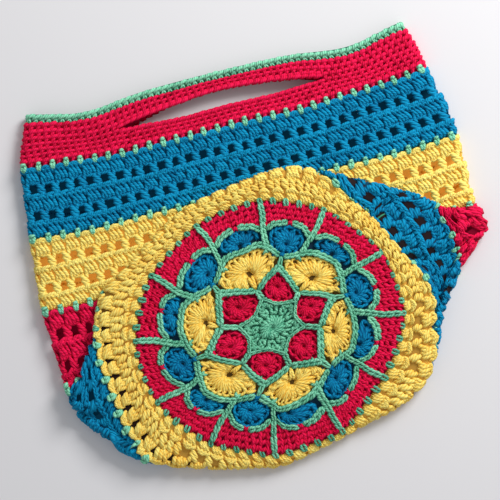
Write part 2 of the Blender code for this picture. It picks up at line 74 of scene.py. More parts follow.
# Heights of the layers' middles
BACK = THICK / 2
FRONT = BACK + THICK + CAVITY
UNDER_FLAP = FRONT + THICK + PLEAT
TOP = UNDER_FLAP + THICK + PLEAT
print("Levels of the layers, mm:", BACK, FRONT, UNDER_FLAP, TOP)

# %% Where the flap turns down over the front, or the outline turns under: u, s, x, y
TURN = np.array([
    (4, 143, 210, 166), (8, 152, 221, 175), (12, 160, 228, 183.5), (14.6, 176, 227, 199),
    (18, 177, 211, 206), (22, 152, 198, 210), (28, 120, 184, 215), (34, 113, 171, 228),
    (40, 100, 150, 242), (47, 80, 119, 259), (54, 54, 88, 272), (72, 41, 39, 290),
    (90, 39, -9, 292), (108, 37, -56, 275), (125, 36, -91, 256), (140, 38, -127, 232),
    (155, 42, -163, 208), (168, 46, -179, 172), (174, 64, -190, 160), (179, 86, -199, 145),
    (184, 106, -211, 125), (188, 106, -216, 112), (192, 99, -218, 102), (196, 91, -212, 91),
    (203, 76, -196, 71), (210, 60, -176, 47), (221, 46, -138, 27), (232, 34, -103, 15),
    (248, 22, -62, 4.5), (270, 13, -9, 0.6), (284, 11, 23, 8), (299, 15, 57, 17),
    (311, 25, 88, 25.5), (319, 35, 110, 34), (327, 43, 130, 47), (337, 49, 147, 71),
    (346, 57, 158, 97), (351, 78, 168, 113), (355, 106, 179, 131), (359.5, 125, 192, 150),
])

# %% Where the wall turns back up to the mouth under the flap: u, s, x, y
RETURN = np.array([
    (4, 168, 206, 187), (8, 173, 216, 191), (12, 178, 224, 196), (14.6, 190, 217, 203),
    (18, 188, 208, 201), (22, 179, 197, 191), (28, 171, 182, 186), (34, 171, 167, 184),
    (40, 169, 152, 181), (54, 163, 118, 174), (72, 166, 73, 174), (90, 168, 28, 174),
    (108, 161, -16, 166), (125, 150, -59, 155), (140, 139, -96, 144), (155, 130, -133, 135),
    (168, 115, -165, 119), (174, 117, -180, 121), (179, 119, -193, 123), (184, 122, -209, 131),
    (188, 128, -216, 131), (192, 130, -221, 133), (196, 132, -213, 134), (210, 125, -178, 118),
    (232, 112, -121, 100), (270, 102, -31, 92), (300, 102, 40, 92), (327, 118, 110, 112),
    (346, 120, 157, 147), (355, 150, 181, 170), (359.5, 160, 191, 180),
])

# %% The side folds, where the flap slopes off the base
# u, then s, radius, angle from u and height share (1 at the base, 0 at the level below) for three
# points before the turn
SIDE_FOLDS = [
    (4, (43, 162, 0, 1.0), (66, 168, 0, 0.72), (118, 199.5, 1.0, 0.45)),
    (12, (43, 158, 0, 1.0), (66, 164, 0, 0.76), (120, 203, -1.8, 0.62)),
    (18, (43, 155, 0, 1.0), (66, 161, -0.5, 0.80), (120, 206, -3.4, 0.70)),
    (24, (43, 154, 0, 1.0), (66, 161, -1.0, 0.84), (108, 198, -4.4, 0.76)),
    (32, (43, 154, 0, 1.0), (64, 161, 0, 0.90), (92, 185, -2.5, 0.84)),
    (176, (18, 144, 0, 1.0), (45, 173, 0, 0.88), (60, 181, 0, 0.84)),
    (184, (18, 144, 0, 1.0), (45, 170, 0, 0.86), (68, 187, 0, 0.70)),
    (192, (18, 144, 0, 1.0), (45, 171, 0, 0.84), (80, 201, 0, 0.52)),
    (203, (18, 144, 0, 1.0), (45, 175, 0, 0.84), (60, 185, 0, 0.66)),
    (351, (36, 160, 0, 1.0), (46, 168, 0, 0.82), (56, 172, 1, 0.66)),
    (355, (43, 167, 0, 1.0), (60, 171, 0, 0.72), (88, 180, 1.2, 0.50)),
    (359.5, (43, 165, 0, 1.0), (66, 170, 0, 0.66), (105, 188, 1.6, 0.40)),
]
SIDE_RANGES = ((-9.0, 32.0), (176.0, 203.0))
SIDE_DROP = 7.0
SIDE_FADE = 9.0  # degrees

# %% Bulges, slides and dips of the soft cloth
# At the right the yellow round bulges over the blue one: turns, rows, how far out, how high
TUCK_TURNS = (5, 13, 45, 51)
TUCK_ROWS = (20, 30, 38, 45, 52, 61, 70, 85, 99, 121)
TUCK_OUT = (0, 1.0, -1.0, -5.5, -9.0, -7.5, -3.5, -3.0, -3.0, 0)
TUCK_UP = (0, -0.3, -1.2, -2.6, -3.4, -3.2, -2.2, -1.0, -0.6, 0)

# At the upper left the flap is narrower: turns, how far in, rows, and their share of it
NARROW_TURNS = (66, 73, 78, 84, 92, 97, 103, 108, 113)
NARROW_IN = (0, 2.6, 5.0, 8.0, 9.0, 7.2, 3.2, 1.0, 0)
NARROW_ROWS = (4, 33, 52, 95)
NARROW_SHARE = (0, 1, 1, 0)

# The back wall has slid down a little under the front one, up to a row near the mouth
BACK_DROP = 11.0
BACK_DROP_END = 384
BACK_DROP_FADE = 45
BACK_SLIDE = 3.9

# Above a row the mouth dips beside its slots, at an x to both sides, and rises between them
MOUTH_START = 350
MOUTH_FADE = 40
MOUTH_DIP = 6.5
MOUTH_DIP_AT = 133
MOUTH_DIP_WIDTH = 40
MOUTH_LIFT = 3.4
MOUTH_LIFT_WIDTH = 150

# Rows of the flat tube above the flap: s, left x, right x, y in the middle, rise at the sides
TUBE_ROWS = [
    (198, -225, 222, 205, 3.5), (273, -219.5, 221.6, 276, 5), (348, -211, 207.5, 344, 9),
    (390, -197, 197, 387, 7), (399, -192, 192, 397, 8),
]
print("Places on the drawing:", len(TURN) + len(RETURN), "side folds:", len(SIDE_FOLDS))

# %% Smooth curves through the places
def slopes_of(knots, values):
    """Slopes of a curve through the values that never overshoots them."""
    steps = np.diff(knots)
    rises = np.diff(values, axis=0) / steps[:, None]
    before = (steps[1:] * 2 + steps[:-1])[:, None]
    after = (steps[1:] + 2 * steps[:-1])[:, None]
    with np.errstate(divide="ignore", invalid="ignore"):
        mean = (before + after) / (before / rises[:-1] + after / rises[1:])
    inner = np.where(rises[:-1] * rises[1:] > 0, mean, 0.0)
    return np.concatenate([rises[:1], inner, rises[-1:]])


def smooth_curve(knots, values, at):
    """Values of the smooth curve at the places given."""
    slopes = slopes_of(knots, values)
    cell = np.clip(np.searchsorted(knots, at, side="right") - 1, 0, len(knots) - 2)
    width = (knots[cell + 1] - knots[cell])[:, None]
    part = (at - knots[cell])[:, None] / width
    rest = 1 - part
    return ((1 + 2 * part) * rest * rest * values[cell]
            + part * part * (3 - 2 * part) * values[cell + 1]
            + part * rest * rest * width * slopes[cell]
            - part * part * rest * width * slopes[cell + 1])


def round_curve(angles, values, at):
    """A smooth curve round the whole bag."""
    order = np.argsort(angles)
    angles = angles[order]
    values = values[order]
    angles = np.concatenate([angles[-3:] - 360, angles, angles[:3] + 360])
    return smooth_curve(angles, np.concatenate([values[-3:], values, values[:3]]), at % 360.0)


# %% Places on the drawing, and the height of the base
def from_polar(radius, degrees):
    """Places on the drawing at a radius and an angle about the centre of the base."""
    angle = np.radians(degrees)
    return BASE_CENTRE + np.stack([radius * np.cos(angle), radius * np.sin(angle)], axis=-1)


def base_height(points):
    """Height of the base: level over the front wall, lower towards the bottom of the bag."""
    down = np.clip((BASE_CENTRE[1] - points[..., 1]) / RING, 0, 1.2)
    return TOP - BASE_LIFT * down ** 1.6


# %% [markdown]
# ## The wall as one surface
# A column of the wall, seen at one angle u, is a path: off the base, round the first fold, back
# under the flap, round the second fold and up the tube. Each fold is five points of a half
# circle. With the paths of 360 columns the whole wall becomes a grid, and a stitch is laid on
# it by its u and s, as a maker counts stitches and rows.

# %% Where the side folds are, and the rows of the flat tube
def side_share(u):
    """1 where the flap slopes off the base at either side, falling to 0 away from there."""
    share = np.zeros_like(u)
    for first, last in SIDE_RANGES:
        gap = np.abs((u - (first + last) / 2 + 180) % 360 - 180) - (last - first) / 2
        part = np.clip(1 - gap / SIDE_FADE, 0, 1)
        share = np.maximum(share, part * part * (3 - 2 * part))
    return share


def tube_point(row, phase):
    """Place and height share of each column on one row of the flat tube."""
    s, left, right, middle, rise = row
    half_gap = (FRONT - BACK) / 2 / UNIT
    length = right - left - 2 * half_gap + math.pi * half_gap
    front = phase % 360.0
    run = np.where(front > 180, 360 - front, front) / 180 * length
    arc = math.pi / 2 * half_gap
    turn_right = np.clip(run / half_gap, 0, math.pi / 2)
    turn_left = np.clip((length - run) / half_gap, 0, math.pi / 2)
    at_left = left + half_gap - half_gap * np.cos(turn_left)
    x = np.where(length - run < arc, at_left, right - half_gap - (run - arc))
    x = np.where(run < arc, right - half_gap + half_gap * np.cos(turn_right), x)
    share = np.minimum(np.sin(turn_right), np.sin(turn_left))
    share = np.where(front > 180, (1 - share) / 2, (1 + share) / 2)
    bend = np.abs((x - (left + right) / 2) / ((right - left) / 2)) ** 4
    behind = np.where(front > 180, 1 - bend * bend, 0.0)
    drop = BACK_DROP * behind * np.clip((BACK_DROP_END - s) / BACK_DROP_FADE, 0, 1)
    dip = MOUTH_DIP * np.exp(-((np.abs(x) - MOUTH_DIP_AT) / MOUTH_DIP_WIDTH) ** 2)
    dip = dip - MOUTH_LIFT * np.clip(1 - (x / MOUTH_LIFT_WIDTH) ** 2, 0, 1)
    dip = dip * np.clip((s - MOUTH_START) / MOUTH_FADE, 0, 1)
    return x + BACK_SLIDE * behind, middle + rise * bend - drop - dip, share


# %% A fold of five points
LEAST_STEP = 0.4  # of s, from one point of a column to the next


def knot(s, place, z):
    """One point of every column: s, x, y and height."""
    return np.concatenate([s[:, None], place, z[:, None]], axis=1)


def unit_way(way):
    """Ways as steps of length one, and their lengths."""
    length = np.hypot(way[:, 0], way[:, 1])
    return way / np.maximum(length, 1e-6)[:, None], length


def fold_knots(tip, way_in, way_out, room, half, tip_s, high, low, before):
    """Five points round a fold, in along one way at the high level and out at the low."""
    way_out, length = unit_way(way_out)
    room_out = np.minimum(room, length * 0.3)
    points = []
    for degrees in (0, 45, 90, 135, 180):
        turn = math.radians(degrees)
        back = 1 - math.sin(turn)
        spot = tip - way_in * (room * back)[:, None]
        if degrees > 90:
            spot = tip + way_out * (room_out * back)[:, None]
        s = tip_s + (degrees / 90 - 1) * half * math.pi / 2
        points.append(knot(s, spot, (high + low) / 2 + (high - low) / 2 * math.cos(turn)))
    first = points[0][:, 0]
    push = (before[:, 0] + LEAST_STEP - first) / np.maximum(tip_s - first, 1e-6)
    push = np.clip(push, 0, 0.9)
    for point in points[:2]:
        point[:, 0] = point[:, 0] + (tip_s - point[:, 0]) * push
    return points


# %% One column of the wall
def column_knots(u):
    """The points that each column of the wall passes through: s, x, y and height."""
    rel = TURN[:, 2:4] - BASE_CENTRE
    angle = np.degrees(np.arctan2(rel[:, 1], rel[:, 0]))
    offset = (angle - TURN[:, 0] + 180) % 360 - 180
    tips = np.stack([np.hypot(rel[:, 0], rel[:, 1]), offset, TURN[:, 1]], axis=1)
    radius, offset, tip_s = round_curve(TURN[:, 0], tips, u).T
    tip = from_polar(radius, u + offset)
    back = round_curve(RETURN[:, 0], RETURN[:, 1:4], u)
    under = back[:, 1:3]
    edge = from_polar(RING, u)
    tube = [tube_point(row, u - TWIST) for row in TUBE_ROWS]

    # Heights: of the base's edge, of the flap, of the layer under it and of the tube's start
    share = tube[0][2]
    height = base_height(edge)
    beside = np.minimum((u - TWIST) % 180, (TWIST - u) % 180)
    in_front = TOP - SIDE_DROP * (1 - np.clip((share - 0.5) * 2, 0, 1))
    outline = height - 1.0 - (SIDE_DROP - 1.0) * np.exp(-(beside / SIDE_FADE) ** 2)
    flap = np.where(share > 0.5, in_front, outline)
    lower = np.where(share > 0.5, BACK + share * (UNDER_FLAP - BACK), BACK)
    final = np.where(share > 0.5, BACK + share * (FRONT - BACK), BACK)

    # Off the base: three points, even or as the side folds have them
    half = np.maximum((flap - lower) / 2 / UNIT, 0.5)
    start_s = np.maximum(tip_s - half * math.pi / 2, tip_s * 0.25)
    way_in, reach = unit_way(tip - edge)
    room = np.minimum(half, reach * 0.55)
    begin = tip - way_in * room[:, None]
    knots = [knot(np.zeros_like(u), edge, height)]
    near = side_share(u)[:, None]
    keys = np.array([key[0] for key in SIDE_FOLDS], dtype=float)
    for number, part in enumerate((0.3, 0.6, 0.9)):
        plain = knot(start_s * part, edge + (begin - edge) * part,
                     height + (flap - height) * part)
        folds = np.array([key[number + 1] for key in SIDE_FOLDS], dtype=float)
        s, radius, offset, level = round_curve(keys, folds, u).T
        made = knot(s, from_polar(radius, u + offset), lower + level * (TOP - lower))
        knots.append(plain * (1 - near) + made * near)

    # Round the fold, back under the flap, round the second fold and up the tube
    knots += fold_knots(tip, way_in, under - tip, room, half, tip_s, flap, lower, knots[-1])
    last = knots[-1]
    knots.append(knot((last[:, 0] + back[:, 0]) / 2, (last[:, 1:3] + under) / 2, lower))
    small = np.maximum((lower - final) / 2 / UNIT, 0.02)
    away, span = unit_way(under - tip)
    up = np.stack(tube[0][:2], axis=1) - under
    knots += fold_knots(under, away, up, np.minimum(small, span * 0.3), small, back[:, 0],
                        lower, final, knots[-1])
    for row, (x, y, part) in zip(TUBE_ROWS, tube):
        s = np.full_like(u, row[0])
        knots.append(np.stack([s, x, y, BACK + part * (FRONT - BACK)], axis=1))
    path = np.stack(knots, axis=1)
    for number in range(1, path.shape[1]):
        least = path[:, number - 1, 0] + LEAST_STEP
        path[:, number, 0] = np.maximum(path[:, number, 0], least)
    path[:, :, 0] *= MOUTH / path[:, -1:, 0]
    return path


# %% [markdown]
# ## How the base was pulled out of shape
# A hand-made flower is never as even as its drawing, and the turned-down flap pulls this one a
# little to one side. Each ring of joints is listed as it is seen in the picture, in its pixels,
# turning left from the spoke on the right. A smooth pull field takes the even flower to those
# places, and it fades out a little way up the wall.

# %% Joints of the flower as seen: radius, angle from the first spoke, step, and the pixels
JOINTS = [
    (128, 0, 30, [(403, 313), (381, 252), (323, 211), (260, 203), (197, 227), (153, 276),
        (137, 341), (158, 402), (211, 443), (275, 455), (342, 430), (382, 376)]),
    (104, 0, 30, [(371, 313), (357, 266), (313, 235), (263, 228), (213, 247), (176, 291),
        (166, 342), (185, 389), (226, 413), (274, 421), (328, 407), (359, 364)]),
    (86, 0, 30, [(353, 311), (342, 275), (301, 253), (266, 245), (221, 264), (192, 297), (185, 344),
        (199, 378), (234, 401), (274, 407), (318, 389), (345, 355)]),
    (112, 15, 30, [(375, 287), (341, 243), (290, 223), (235, 229), (191, 261), (161, 310),
        (162, 367), (195, 409), (246, 429), (302, 426), (348, 393), (377, 342)]),
    (91, 15, 60, [(355, 293), (286, 245), (208, 275), (183, 364), (250, 411), (335, 378)]),
    (97, 45, 60, [(332, 254), (240, 247), (175, 315), (206, 400), (287, 414), (359, 345)]),
    (73, 15, 60, [(345, 296), (281, 256), (213, 286), (196, 358), (258, 396), (331, 367)]),
    (64, 15, 60, [(332, 297), (279, 267), (219, 293), (208, 355), (264, 384), (321, 361)]),
    (45, 15, 60, [(310, 306), (277, 287), (238, 308), (230, 347), (265, 366), (303, 346)]),
    (66.5, 45, 60, [(312, 278), (249, 274), (206, 323), (229, 375), (292, 382), (333, 331)]),
    (50, 45, 60, [(298, 293), (257, 291), (220, 327), (242, 364), (290, 366), (321, 327)]),
    (37.5, 45, 60, [(296, 300), (262, 298), (238, 327), (249, 354), (285, 354), (305, 326)]),
    (0, 0, 60, [(271.5, 328)]),
]

# %% From the picture's pixels to the drawing, and how far each joint is pulled
PIXEL_TURN = np.array([[0.970, -0.242], [-0.242, -0.970]])
PIXEL_CORNER = np.array([213.5, 68.5])
CORNER_DRAWN = (0, 402)
even = []
seen = []
for radius, first, step, pixels in JOINTS:
    even.append(from_polar(radius, SPOKE + first + step * np.arange(len(pixels))))
    seen.append((np.array(pixels) - PIXEL_CORNER) @ PIXEL_TURN.T + CORNER_DRAWN)
even = np.concatenate(even)
pulls = np.concatenate(seen) - even
mean_pull = pulls.mean(axis=0)
print("Joints:", len(even), "mean pull", mean_pull.round(1),
      "largest", np.abs(pulls).max().round(1))


# %% The pull field
def spread_of(first, second):
    """Softened distances between two sets of places."""
    gaps = first[..., None, :] - second
    return np.sqrt((gaps ** 2).sum(axis=-1) + 100.0)


pull_weights = np.linalg.solve(spread_of(even, even) - np.eye(len(even)), pulls - mean_pull)


def pull(flat):
    """How far the cloth at places of the drawing is pulled from the even flower."""
    return spread_of(flat, even) @ pull_weights + mean_pull


# %% The whole wall as a grid, one column a degree and one row a drawing unit
PULL_END = 34  # the row where the pull has faded out
ROWS = np.arange(0, MOUTH + 0.5)
turns = np.arange(360.0)
surface = np.stack([smooth_curve(knots[:, 0], knots[:, 1:], ROWS)
                    for knots in column_knots(turns)])
fade = np.clip(1 - ROWS / PULL_END, 0, 1) ** 1.5
surface[:, :, 0:2] += pull(from_polar(RING, turns))[:, None] * fade[None, :, None]
tucked = np.interp(turns, TUCK_TURNS, (0, 1, 1, 0))[:, None]
narrow = np.interp(turns, NARROW_TURNS, NARROW_IN)[:, None]
outward = np.interp(ROWS, TUCK_ROWS, TUCK_OUT) * tucked
outward = outward - np.interp(ROWS, NARROW_ROWS, NARROW_SHARE) * narrow
angle = np.radians(turns)[:, None]
surface[:, :, 0] += outward * np.cos(angle)
surface[:, :, 1] += outward * np.sin(angle)
surface[:, :, 2] += np.interp(ROWS, TUCK_ROWS, TUCK_UP) * tucked
surface[:, :, 0:2] = (surface[:, :, 0:2] - DRAWING_CENTRE) * UNIT


# %% The ways out of the cloth
def length_of(ways):
    """Lengths of ways in space, never quite nothing."""
    return np.maximum(np.linalg.norm(ways, axis=2, keepdims=True), 1e-9)


# They are smoothed, and shorter where the smoothing bent them
round_way = np.roll(surface, -1, axis=0) - np.roll(surface, 1, axis=0)
outwards = np.cross(np.gradient(surface, axis=1), round_way)
outwards /= length_of(outwards)
for _ in range(2):
    outwards[:, 1:-1] = outwards[:, 1:-1] / 2 + (outwards[:, 2:] + outwards[:, :-2]) / 4
    beside = np.roll(outwards, 1, axis=0) + np.roll(outwards, -1, axis=0)
    outwards = outwards / 2 + beside / 4
outwards /= length_of(outwards) ** 0.5
both = np.concatenate([surface, outwards], axis=2)
print("Wall grid:", surface.shape, "lowest", surface[:, :, 2].min(),
      "highest", surface[:, :, 2].max())

# %% Points on the wall and on the base
TABLE_GAP = 0.2
NEAR_TABLE = 1.2  # below this the cloth is pressed, and never reaches the gap


def on_wall(u, s, out):
    """Points in millimetres at angles u and ways s, raised above the wall's middle."""
    u = u % 360.0
    column = np.floor(u).astype(int) % 360
    row = np.clip(np.floor(s).astype(int), 0, len(ROWS) - 2)
    part_u = (u - np.floor(u))[..., None]
    part_s = (s - row)[..., None]
    after = (column + 1) % 360
    low = both[column, row] * (1 - part_u) + both[after, row] * part_u
    high = both[column, row + 1] * (1 - part_u) + both[after, row + 1] * part_u
    spot = low * (1 - part_s) + high * part_s
    point = spot[..., :3] + spot[..., 3:] * out[..., None]
    z = point[..., 2]
    point[..., 2] = np.where(z < NEAR_TABLE, TABLE_GAP + np.exp(z - NEAR_TABLE), z)
    return point


def on_base(flat, out):
    """Points in millimetres at places of the even flower, raised above the base's middle."""
    point = np.empty(flat.shape[:-1] + (3,))
    flat = flat + pull(flat)
    point[..., :2] = (flat - DRAWING_CENTRE) * UNIT
    point[..., 2] = base_height(flat) + out
    return point


# %% [markdown]
# ## One length of yarn
# The bag's yarn is medium cotton, soft enough to look 3 to 3.5 mm thick in the stitch. A strand
# is a path swept by a five-sided ring: with smooth shading five sides already look round, and
# thousands of strands stay light. Several strands joined make one stitch.

# %% A strand
END_THICK = 0.72
bpy.ops.mesh.primitive_circle_add(vertices=5, radius=1.0)
yarn_ring = bpy.context.object
bpy.ops.object.convert(target="CURVE")


def strand(points, thick):
    """A strand through five or so points, in millimetres, thinner where it dives under."""
    bpy.ops.object.select_all(action="DESELECT")
    bpy.ops.curve.primitive_nurbs_path_add()
    path = bpy.context.object
    line = path.data.splines[0]
    line.type = "POLY"
    while len(line.points) < len(points):
        line.points.add(1)
    for number, place in enumerate(points):
        line.points[number].co = (*place, 1)
        end = number in (0, len(points) - 1)
        line.points[number].radius = thick * (END_THICK if end else 1.0)
    path.data.bevel_mode = "OBJECT"
    path.data.bevel_object = yarn_ring
    path.data.use_fill_caps = True
    bpy.ops.object.convert(target="MESH")
    made = bpy.context.object
    bpy.ops.object.mode_set(mode="EDIT")
    bpy.ops.mesh.select_all(action="SELECT")
    bpy.ops.mesh.remove_doubles(threshold=0.001)
    bpy.ops.mesh.normals_make_consistent(inside=False)
    bpy.ops.object.mode_set(mode="OBJECT")
    length = sum(math.dist(a, b) for a, b in zip(points, points[1:]))
    return made, length


# %% A stitch of several strands
stitches = {}


def read(items, name, size=1, kind=float):
    """One sort of number from every item of a mesh."""
    values = np.empty(len(items) * size, dtype=kind)
    items.foreach_get(name, values)
    return values.reshape(-1, size) if size > 1 else values


def stitch(name, *strands):
    """Join strands into one stitch and keep its shape for copying."""
    shape = {"corners": [], "loops": [], "starts": [], "yarn": []}
    corner_count = loop_count = 0
    for points, thick in strands:
        item, length = strand(points, thick)
        mesh = item.data
        shape["corners"].append(read(mesh.vertices, "co", 3))
        shape["loops"].append(read(mesh.loops, "vertex_index", kind=int) + corner_count)
        shape["starts"].append(read(mesh.polygons, "loop_start", kind=int) + loop_count)
        shape["yarn"].append(read(mesh.uv_layers[0].data, "uv", 2) * (length, 1.0))
        corner_count += len(mesh.vertices)
        loop_count += len(mesh.loops)
        bpy.data.objects.remove(item)
    stitches[name] = {part: np.concatenate(values) for part, values in shape.items()}
    print(name, "has", len(stitches[name]["starts"]), "faces")


# %% [markdown]
# ## The stitches
# Crochet has a few stitches only, and each is a few strands seen from its right side. A tall
# stitch is an arch of yarn over a slanted wrap and a leg. A short stitch is a bar over a
# slanted leg. A chain is a row of Vs. X runs to the right, Y towards the mouth and Z out of the
# cloth, in millimetres, with the stitch's foot at the origin. Each strand is five points and a
# radius. Keep a stitch to three strands: there are thousands of them.

# %% The tall stitch and what joins it to an open row
stitch("tall",
    ([(-2.3, 7.6, 0), (-1.9, 10.6, 1.2), (-0.2, 12.4, 1.8), (1.6, 11, 1.4), (2.9, 7.6, 0.1)], 1.75),
    ([(-2.1, 8.2, 0.2), (-1, 7.6, 1.2), (0.6, 5.2, 1.7), (1.8, 2.9, 1.1), (2.5, 0.9, 0)], 1.7),
    ([(-1.8, -0.8, 0), (-1.9, 1.4, 0.9), (-1.6, 3.4, 1.2), (-1, 5.4, 0.7), (-0.3, 7, 0)], 1.6))
stitch("arch",
    ([(-5.6, -3, 0), (-3.6, 0.2, 1.4), (-0.2, 1.5, 2), (3.4, 0.6, 1.5), (5.6, -2.2, 0.2)], 1.75))
stitch("post",
    ([(-2.2, 11.8, 0), (-1.7, 9.8, 1.3), (0, 6.8, 1.8), (1.3, 4.4, 1.3), (1.9, 2.4, 0)], 1.8),
    ([(-2, 7.4, 0), (-1.5, 5.2, 1.2), (0, 2.4, 1.6), (1.4, 0.6, 1.2), (2, -1, 0)], 1.8),
    ([(0.9, 6.4, 0), (1.5, 8.2, 0.9), (1.7, 10, 1.1), (1.9, 11.6, 0.9), (2, 13, 0)], 1.5))
stitch("lintel",
    ([(-6.6, 12.4, -0.4), (-4.1, 11.4, 0.3), (0, 11, 0.5), (4.1, 11.5, 0.3), (6.6, 12.6, -0.4)],
     1.7))
stitch("sill",
    ([(-5.2, -1.9, 0.4), (-2.6, -1.1, 1.8), (0.2, -0.6, 2.2), (3, -0.2, 1.9), (5.4, 0.4, 0.4)],
     1.7),
    ([(3.8, -2.2, 0.4), (5.2, -1.3, 1.6), (6.7, -0.1, 2.1), (8.1, 0.6, 1.6), (9.4, 0.2, 0.2)],
     1.65),
    ([(4.6, 1.8, 0.1), (5.8, 0.6, 1.2), (6.9, -1.1, 1.6), (8.2, -2.2, 1.2), (9.2, -3, 0.1)], 1.5))

# %% The short stitch, the mouth's edging, the mint mark and the chain
stitch("short",
    ([(-4.2, 2.7, 0.2), (-2, 3.7, 1.5), (0, 4.3, 2.1), (2, 4.6, 1.7), (4.2, 4.2, 0.3)], 1.8),
    ([(-2.2, -0.8, -0.2), (-1.4, 0.6, 0.8), (-0.3, 1.9, 1.1), (0.8, 3.1, 0.8), (1.6, 4.2, 0)],
     1.85))
stitch("slant",
    ([(-1.9, -2.8, 0), (-1.1, -1.4, 1.3), (0.1, 0.2, 1.8), (1.1, 1.8, 1.3), (1.8, 3.3, 0)], 1.75))
stitch("edging",
    ([(-1.9, 0, 0), (-1.4, 1.4, 0.9), (-0.5, 2.8, 1), (0.3, 3.8, 0.5), (0.6, 4.6, 0)], 1.25),
    ([(1.7, 0, 0), (1.4, 1.4, 0.9), (0.8, 2.8, 1), (0.3, 3.8, 0.5), (0, 4.6, 0)], 1.25),
    ([(-4.8, 3.2, 0), (-2.6, 4.4, 1.5), (0.1, 5.4, 2.1), (2.8, 6.2, 1.6), (5, 6.5, 0)], 1.75))
stitch("lip",
    ([(-4.9, -0.8, 0), (-2.4, -0.4, 1.5), (0.1, 0, 2.1), (2.6, 0.4, 1.6), (4.9, 0.8, 0)], 1.8))
stitch("mark",
    ([(-1.5, 1, 0.8), (-1.4, -0.8, 2.1), (-1.1, -2.8, 2.2), (-0.8, -4.8, 1.4), (-0.4, -6.4, 0)],
     1.5),
    ([(1.5, 0.8, 0.8), (1.3, -1, 2.1), (0.9, -3, 2.2), (0.6, -4.8, 1.4), (0.2, -6.4, 0)], 1.5),
    ([(-1.3, 1.6, 1.4), (-0.7, 2.2, 2.4), (0, 2.6, 2.8), (0.7, 2.5, 2.4), (1.3, 2, 1.4)], 1.85))
stitch("eye",
    ([(0.2, -3.5, 0.4), (-1.6, -2.1, 1.7), (-1.9, 0.2, 2.1), (-1.4, 2.5, 1.8), (0.4, 3.7, 0.6)],
     1.45),
    ([(-0.2, -3.5, 0.4), (1.6, -2.1, 1.6), (1.9, 0.2, 2), (1.4, 2.5, 1.7), (-0.4, 3.7, 0.6)], 1.45))
stitch("runner",
    ([(-6.8, 0, -2.6), (-3.4, 0.2, -2.3), (0, 0, -2.2), (3.4, -0.2, -2.3), (6.8, 0, -2.6)], 0.9))
stitch("link",
    ([(0.4, -1.8, 0), (-1.2, -0.4, 1.4), (-1.7, 1.8, 2.1), (-1.1, 4.2, 1.7), (0.6, 6.2, 0.5)], 1.6),
    ([(1.3, -1, -0.2), (1.9, 0.9, 0.9), (1.7, 2.9, 1.6), (0.8, 4.8, 1.2), (-0.6, 6.3, -0.2)], 1.55))
stitch("ray",
    ([(0, 0, -0.4), (-0.6, 2.4, 0.9), (-1.1, 5, 1.5), (-1.6, 7.8, 1.2), (-1.9, 9.6, 0)], 1.7),
    ([(0.2, 0, -0.4), (0.6, 2.4, 0.8), (1.1, 5, 1.3), (1.5, 7.6, 1), (1.7, 9.4, 0)], 1.7))
stitch("loop",
    ([(-2.9, -1.6, 0), (-1.8, 0.4, 1.3), (0, 1.2, 1.8), (1.8, 0.4, 1.3), (2.9, -1.6, 0)], 1.7))
bpy.data.objects.remove(yarn_ring)

# %% [markdown]
# ## Laying stitches
# A maker works each stitch into the one below, so the rows follow every fold. An array modifier
# along a curve can't follow a folded wall, so the copies are laid by arithmetic: a stitch's
# corners are turned into places on the wall or the base, all copies at once, each with its own
# small differences in size, lean and height. The copies of one round are gathered, and become
# one mesh in place of the solid of that round.

# %% Loose copies of a stitch, and the waves of the cloth
# How much the stitches differ: in size, lean, place and height
SIZE_VARIES = 0.035
LEAN_VARIES = 0.05
MOVE_VARIES = 0.16
HEIGHT_VARIES = 0.1

# Slow waves of a hand-made cloth: size, how many round the bag, rows and start
UP_WAVES = ((0.7, 5, 31, 0.0), (0.5, 9, -17, 1.3))
OUT_WAVES = ((0.25, 7, 12, 0.0), (0.2, 13, -9, 0.7))
CALM_EDGE = 20  # rows at the base where the waves grow
CALM_MOUTH = 30  # rows at the mouth where they fade out


def loose(kind, count, amount=1.0):
    """A stitch's corners for many copies, each with its own small differences."""
    corners = np.repeat(stitches[kind]["corners"][None], count, axis=0)
    size = 1 + chance.normal(0, SIZE_VARIES * amount, (count, 1))
    lean = chance.normal(0, LEAN_VARIES * amount, (count, 1))
    move = chance.normal(0, MOVE_VARIES * amount, (count, 2, 1))
    x = corners[:, :, 0] * size + lean * corners[:, :, 1] + move[:, 0]
    y = corners[:, :, 1] * (1 + (size - 1) * 0.5) + move[:, 1]
    z = corners[:, :, 2] + chance.normal(0, HEIGHT_VARIES * amount, (count, 1))
    return x, y, z


def wander(u, s):
    """How far a stitch strays up and out with the waves of the cloth."""
    turn = np.radians(u)
    up, out = (sum(size * np.sin(count * turn + s / rows + start)
                   for size, count, rows, start in waves) for waves in (UP_WAVES, OUT_WAVES))
    edge = np.clip(s / CALM_EDGE, 0, 1) * np.clip((MOUTH - s) / CALM_MOUTH, 0, 1)
    return up * edge, out


# %% Lay copies of a stitch on the wall or the base
DEGREE = 2.2  # millimetres along the wall in one degree of u
TALL = 12.9  # height of a tall stitch
SHORT = 5.3  # height of a short stitch
# Painted light and shade: a strand's colour is painted lighter where it stands out and darker where
# it sinks
PAINTED_RELIEF_SHADE = 1.3  # how much lighter a strand is for each millimetre that it stands out
FLAP_TOP = 46.0
# Painted shade: stitches below the flap's top are painted darker by this much
FLAP_PAINTED_SHADE = -1.2  # below the flap's top
# Painted shade: every stitch of the base is painted darker by this much
BASE_PAINTED_SHADE = -2.1
work = {}


def gather(piece, kind, points, shade, deep=0.0):
    """Keep the copies of a stitch for the piece they belong to."""
    work.setdefault(piece, []).append((kind, points, shade, deep))


def each(value, count):
    """A number for each copy, as a column."""
    return np.broadcast_to(np.asarray(value, dtype=float), count)[:, None]


